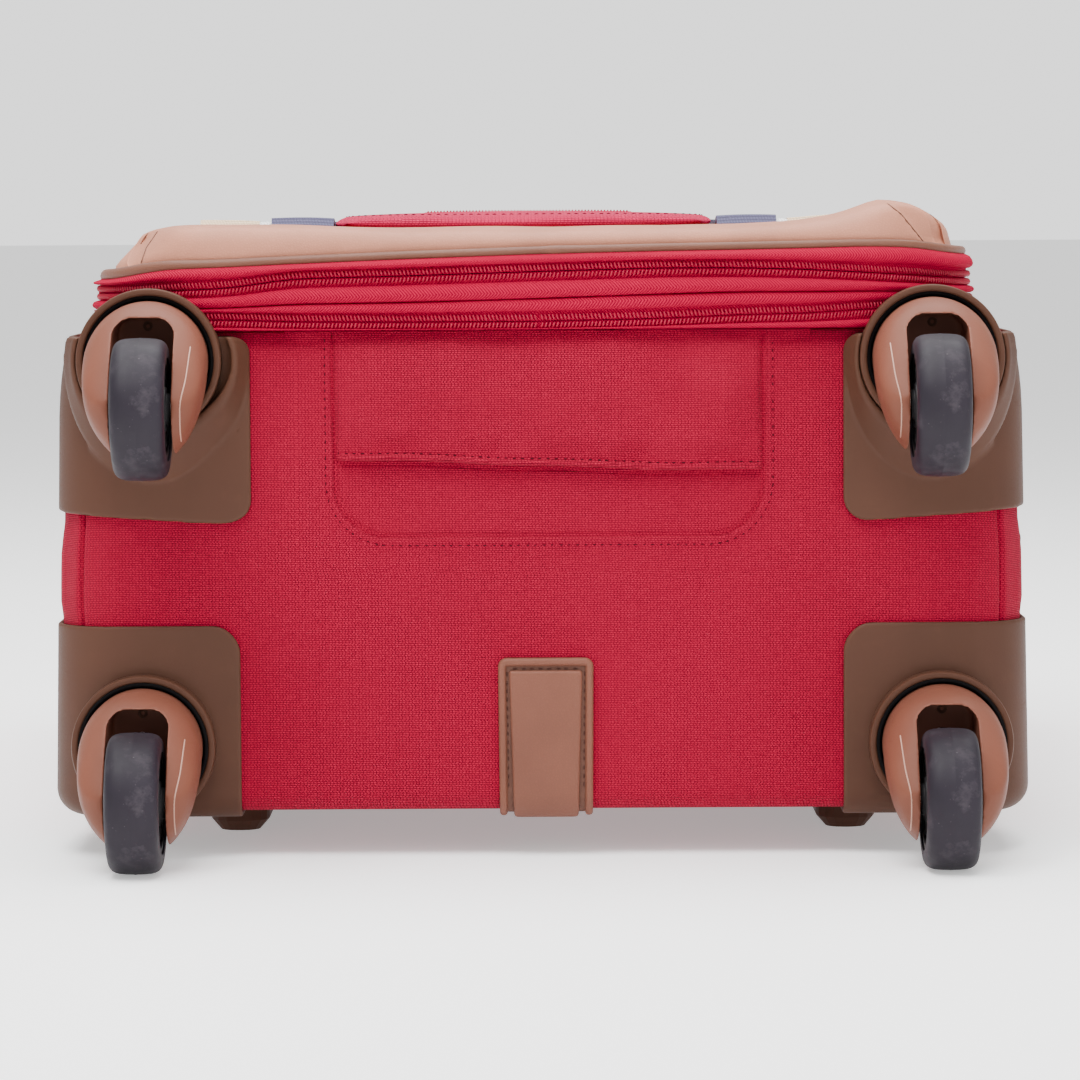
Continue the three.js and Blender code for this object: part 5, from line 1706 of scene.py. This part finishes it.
def carry_handle(name, along, centre, half, pivot, body):
    """A padded leather grip on two arms, its pins, and the lugs that hold them."""
    lo = pivot - 34
    arm = half - 5
    path = [(-arm, pivot + 4), (-arm, pivot), (-arm, pivot - 6), (-arm, pivot - 12), (-arm, lo + 16)]
    path += [(-arm + 16 - 16 * math.cos(a), lo + 16 - 16 * math.sin(a)) for a in np.linspace(0, math.pi / 2,
            10)[1:]]
    path += [(u, lo) for u in np.linspace(-arm + 20, 0, 12)]
    path = np.array(path + [(-u, z) for u, z in path[-2::-1]])
    T = np.gradient(path, axis=0)
    T /= np.linalg.norm(T, axis=1)[:, None]
    N = np.column_stack([-T[:, 1], T[:, 0]])
    run = np.concatenate([[0], np.cumsum(np.linalg.norm(np.diff(path, axis=0), axis=1))])
    f = np.minimum(run, run[-1] - run)
    wide = 4.9 + 2.9 * smooth(26, 46, f)
    thick = 3.0 + 1.5 * smooth(26, 46, f)
    a = np.arange(28) / 28 * TAU
    ca, sa = np.cos(a), np.sin(a)
    ex = np.sign(ca) * np.abs(ca) ** 0.85
    ez = np.sign(sa) * np.abs(sa) ** 0.75
    groove = 1 - 0.13 * np.exp(-((np.abs(ex) - 0.72) / 0.07) ** 2)  # the sewn channels
    tip = np.clip(smooth(-0.5, 3.5, f), 0.35, 1)
    V = np.zeros((len(path), 28, 3))
    V[..., 0] = path[:, 0, None] + N[:, 0, None] * wide[:, None] * ex[None] * tip[:, None]
    V[..., 2] = path[:, 1, None] + N[:, 1, None] * wide[:, None] * ex[None] * tip[:, None]
    V[..., 1] = 7.0 + thick[:, None] * (ez * groove)[None] * tip[:, None] + 0.12 * np.sin(run / 2.6)[:,
            None] * (ez > 0)[None]
    V[..., 0] += centre
    uv = np.stack([np.repeat(run[:, None], 28, 1), np.repeat((a * 4)[None], len(path), 0)], -1).reshape(-1, 2)
    grip = outward(piece(name, place_side(V.reshape(-1, 3), along), skin(len(path), 28, close_v=True)
                         + caps(len(path), 28), TAN, body, angle=70, uv=uv))
    mod(grip, "SUBSURF", levels=1, render_levels=1)
    baked(grip)
    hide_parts(name.replace("_grip", "_handle"))
    rows = []
    for side in (-1, 1):
        k = slice(8, len(path) - 8)
        Q = np.column_stack([path[k, 0] + N[k, 0] * wide[k] * 0.72 * side + centre, 7.0 + thick[k] * 0.74,
                             path[k, 1] + N[k, 1] * wide[k] * 0.72 * side])
        rows.append((place_side(Q, along), (0, 1, 0) if along == "x" else (1, 0, 0)))
    stitches(name.replace("_grip", "_grip_stitches"), rows, DARK_THREAD, body, r=0.3, pitch=3.4, length=2.3)
    pins, lugs, screws = [], [], []
    for side in (-1, 1):
        V, F = turned("x", [(half - 7, 0.001), (half - 7, 2.7), (half - 6.7, 3.0), (half + 8.4, 3.0),
                            (half + 8.8, 2.6), (half + 8.8, 0.001)], 28)
        V = V * (side, 1, 1) + (centre, 7.0, pivot)
        pins.append((place_side(V, along), F))
        out = rrect(-1.0, pivot - 6, 13, pivot + 6, [5.9, 5.9, 0, 0], 10)
        V, F = prism("x", out, half + 1, half + 11)
        lug = scratch("lug", V * (side, 1, 1) + (centre, 0, 0), F)
        outward(lug)
        V, F = turned("x", [(half - 1, 0.001), (half - 1, 3.25), (half + 9.3, 3.25), (half + 9.3, 0.001)], 28)
        bore = outward(scratch("bore", V * (side, 1, 1) + (centre, 7.0, pivot), F))
        cut(lug, "DIFFERENCE", bore)
        plate = rrect(centre + side * (half + 6) - 11, pivot - 15, centre + side * (half + 6) + 11, pivot
                      + 15, 5, 8)
        V, F = prism("y", plate, -1.0, 3.0)
        base = outward(scratch("plate", V, F))
        cut(lug, "UNION", base)
        mod(lug, "BEVEL", width=0.0007, segments=3, limit_method="ANGLE", angle_limit=math.radians(35))
        baked(lug)
        co = np.array([v.co for v in lug.data.vertices]) * 1000
        lugs.append((place_side(co, along), [list(p.vertices) for p in lug.data.polygons]))
        bpy.data.objects.remove(lug)
        for dz in (-11, 11):
            V, F = turned("y", [(2.6, 0.001), (2.6, 2.2), (3.2, 2.2), (3.7, 1.5), (3.9, 0.001)], 20)
            screws.append((place_side(V + (centre + side * (half + 6), 0, pivot + dz), along), F))
    base = name.replace("_grip", "")
    V, F = joined(pins)
    outward(piece(base + "_pins", V, F, STEEL, body, angle=40))
    V, F = joined(lugs)
    outward(piece(base + "_lugs", V, F, GUARD, "case", angle=35))
    V, F = joined(screws)
    outward(piece(base + "_rivets", V, F, NICKEL, "case", angle=40))


carry_handle("top_grip", "x", 0.0, 60.0, 122.0, "top_carry_handle")
carry_handle("side_grip", "y", 20.0, 66.0, 104.0, "side_carry_handle")

# ---------------------------------------------------------------- inside
floor_pad = pillow("lining_pad", -167.5, -199, 167.5, 228.5, 18, 46.0, 47.4, LINING, "case", edge=1.2,
                   dome=0.5)
box_uv(floor_pad.data)
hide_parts("lining_floor")
for name, y in (("packing_strap_lower", -75.0), ("packing_strap_upper", 95.0)):
    xs = np.linspace(-166, 166, 90)
    pts = np.column_stack([xs, y + 3.0 * np.sin(xs / 60), 49.2 + 0.5 * np.abs(np.sin(xs / 34))
                           - 1.2 * smooth(155, 166, np.abs(xs))])
    welt(name, pts, 12.0, BLACK_WEB, "case", 14, 0.055)
    V, F = prism("z", rrect(-21, y - 15, 21, y + 15, 4, 8), 48.2, 52.6)
    buckle = scratch("buckle", V, F)
    outward(buckle)
    for x0 in (-17.5, 11.5):
        cut(buckle, "DIFFERENCE", outward(scratch("slot", *prism("z", rrect(x0, y - 12.5, x0 + 6, y + 12.5,
                1.2, 4), 40, 60))))
    mod(buckle, "BEVEL", width=0.0006, segments=3, limit_method="ANGLE", angle_limit=math.radians(35))
    baked(buckle)
    place(name + "_buckle", buckle.data, BLACK, "case", angle=35, at=(0, 0, 0))
    bpy.data.objects.remove(buckle)

# a net pocket under the lid, with its elastic edge
for name, mat, x0, y0, x1, y1, z0, z1 in (("lid_net", NET, -128, -150, 128, 178, 207.6, 208.5),
                                          ("lid_net_edge", LINING, -129, 168, 129, 182, 207.2, 208.6),
                                          ("lid_net_hem", LINING, -132, -154, 132, -146, 207.4, 208.6)):
    ob = pillow(name, x0, y0, x1, y1, 3.5, z0, z1, mat, "lid", edge=0.4, dome=0.0, shift=wave)
    box_uv(ob.data)

# the cloth hinge down the left side, between the expander and the lid
s0, s1 = FACE.s_of(y=-146, side="left") - LID_ROUND, FACE.s_of(y=186, side="left") - LID_ROUND
s0, s1 = min(s0, s1), max(s0, s1)
hs = np.linspace(s0, s1, 80)
prof = np.array([(0.15, 206.6), (0.75, 207.2), (0.95, 208.2), (0.95, 209.4), (0.95, 210.6), (0.75, 211.8),
                 (0.15, 212.5), (-0.5, 212.4), (-0.2, 211.4), (0.1, 210.2), (0.1, 209.0), (-0.2, 207.8),
                 (-0.5, 206.7)])
V = wave(sweep(FACE, hs, np.repeat(prof[None], len(hs), 0)))
n, m = V.shape[:2]
uv = np.stack([np.repeat(hs[:, None], m, 1), np.repeat(np.arange(m)[None] * 0.8, n, 0)], -1).reshape(-1, 2)
hinge = outward(piece("cloth_hinge", V.reshape(-1, 3), skin(n, m, close_v=True) + caps(n, m), TAPE, None,
                      angle=60, uv=uv))
mid = V[n // 2, 3]
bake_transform(hinge)


# ---------------------------------------------------------------- CAD parts that only get a look
for start, mat in (("swivel_pin_", STEEL), ("skid_rail_", GUARD), ("trolley_outer_tube_", ALU),
                   ("trolley_middle_tube_", ALU),
               ("trolley_inner_tube_", ALU), ("trolley_bezel", BLACK), ("trolley_grip", BLACK),
                   ("release_button", BLACK),
               ("main_slider", NICKEL), ("main_pull", NICKEL), ("expansion_slider", NICKEL)):
    for ob in list(bpy.data.objects):
        if ob.name.startswith(start) and ob.type == "MESH" and "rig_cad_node" in ob:
            ob.data.materials.clear()
            ob.data.materials.append(mat)
            mod(ob, "BEVEL", width=0.0005, segments=3, limit_method="ANGLE", angle_limit=math.radians(35))

# ---------------------------------------------------------------- the picture
FLOOR_HALF = 40  # metres
me = bpy.data.meshes.new("floor")
me.from_pydata([(-FLOOR_HALF, -FLOOR_HALF, 0), (FLOOR_HALF, -FLOOR_HALF, 0), (FLOOR_HALF, FLOOR_HALF, 0),
                (-FLOOR_HALF, FLOOR_HALF, 0)], [], [(0, 1, 2, 3)])
floor = bpy.data.objects.new("floor", me)
bpy.context.scene.collection.objects.link(floor)
paint = bpy.data.materials.new("floor")
paint.use_nodes = True
for key, value in (("Base Color", (0.9, 0.9, 0.9, 1)), ("Roughness", 0.9), ("Emission Color", (1, 1, 1, 1)),
                   ("Emission Strength", 0.42)):
    paint.node_tree.nodes["Principled BSDF"].inputs[key].default_value = value
me.materials.append(paint)
# a white studio, brighter near the horizon than overhead
world = bpy.context.scene.world or bpy.data.worlds.new("studio")
bpy.context.scene.world = world
world.use_nodes = True
tree = world.node_tree
tree.nodes["Background"].inputs[0].default_value = (1, 1, 1, 1)
where, xyz, glow = (tree.nodes.new(k) for k in ("ShaderNodeTexCoord", "ShaderNodeSeparateXYZ",
                                                "ShaderNodeMapRange"))
for key, value in (("From Min", 0.05), ("From Max", 0.2), ("To Min", 1.7), ("To Max", 0.85)):
    glow.inputs[key].default_value = value
tree.links.new(where.outputs["Generated"], xyz.inputs[0])
tree.links.new(xyz.outputs["Z"], glow.inputs["Value"])
tree.links.new(glow.outputs["Result"], tree.nodes["Background"].inputs[1])


def area(name, at, to, size, power):
    """A soft box light, in metres, turned towards a point."""
    light = bpy.data.lights.new(name, "AREA")
    light.shape = "RECTANGLE"
    light.size, light.size_y = size
    light.energy = power
    ob = bpy.data.objects.new(name, light)
    bpy.context.scene.collection.objects.link(ob)
    ob.location = at
    ob.rotation_euler = (Vector(to) - Vector(at)).to_track_quat("-Z", "Y").to_euler()


area("key", (-0.35, -0.95, 1.6), (0, -0.1, 0.12), (1.2, 0.8), 42)
area("fill", (0.9, -1.6, 0.9), (0, -0.1, 0.1), (1.2, 1.2), 8)
area("top", (0, 0.2, 1.7), (0, 0, 0.1), (1.8, 1.6), 62)

# the camera looks along +Y at the wheel end, nearly level, and is rolled a touch
LENS, ROLL = 154.4, -0.33
cam = bpy.data.cameras.new("camera")
cam.sensor_width = 36
cam.lens = LENS
camera = bpy.data.objects.new("camera", cam)
bpy.context.scene.collection.objects.link(camera)
camera.location = W(EYE)
look = (Vector(W((-0.5, CASE_NEAR, 115.0))) - Vector(W(EYE))).to_track_quat("-Z", "Y").to_matrix()
camera.rotation_euler = (look @ Matrix.Rotation(math.radians(ROLL), 3, "Z")).to_euler()
bpy.context.scene.camera = camera
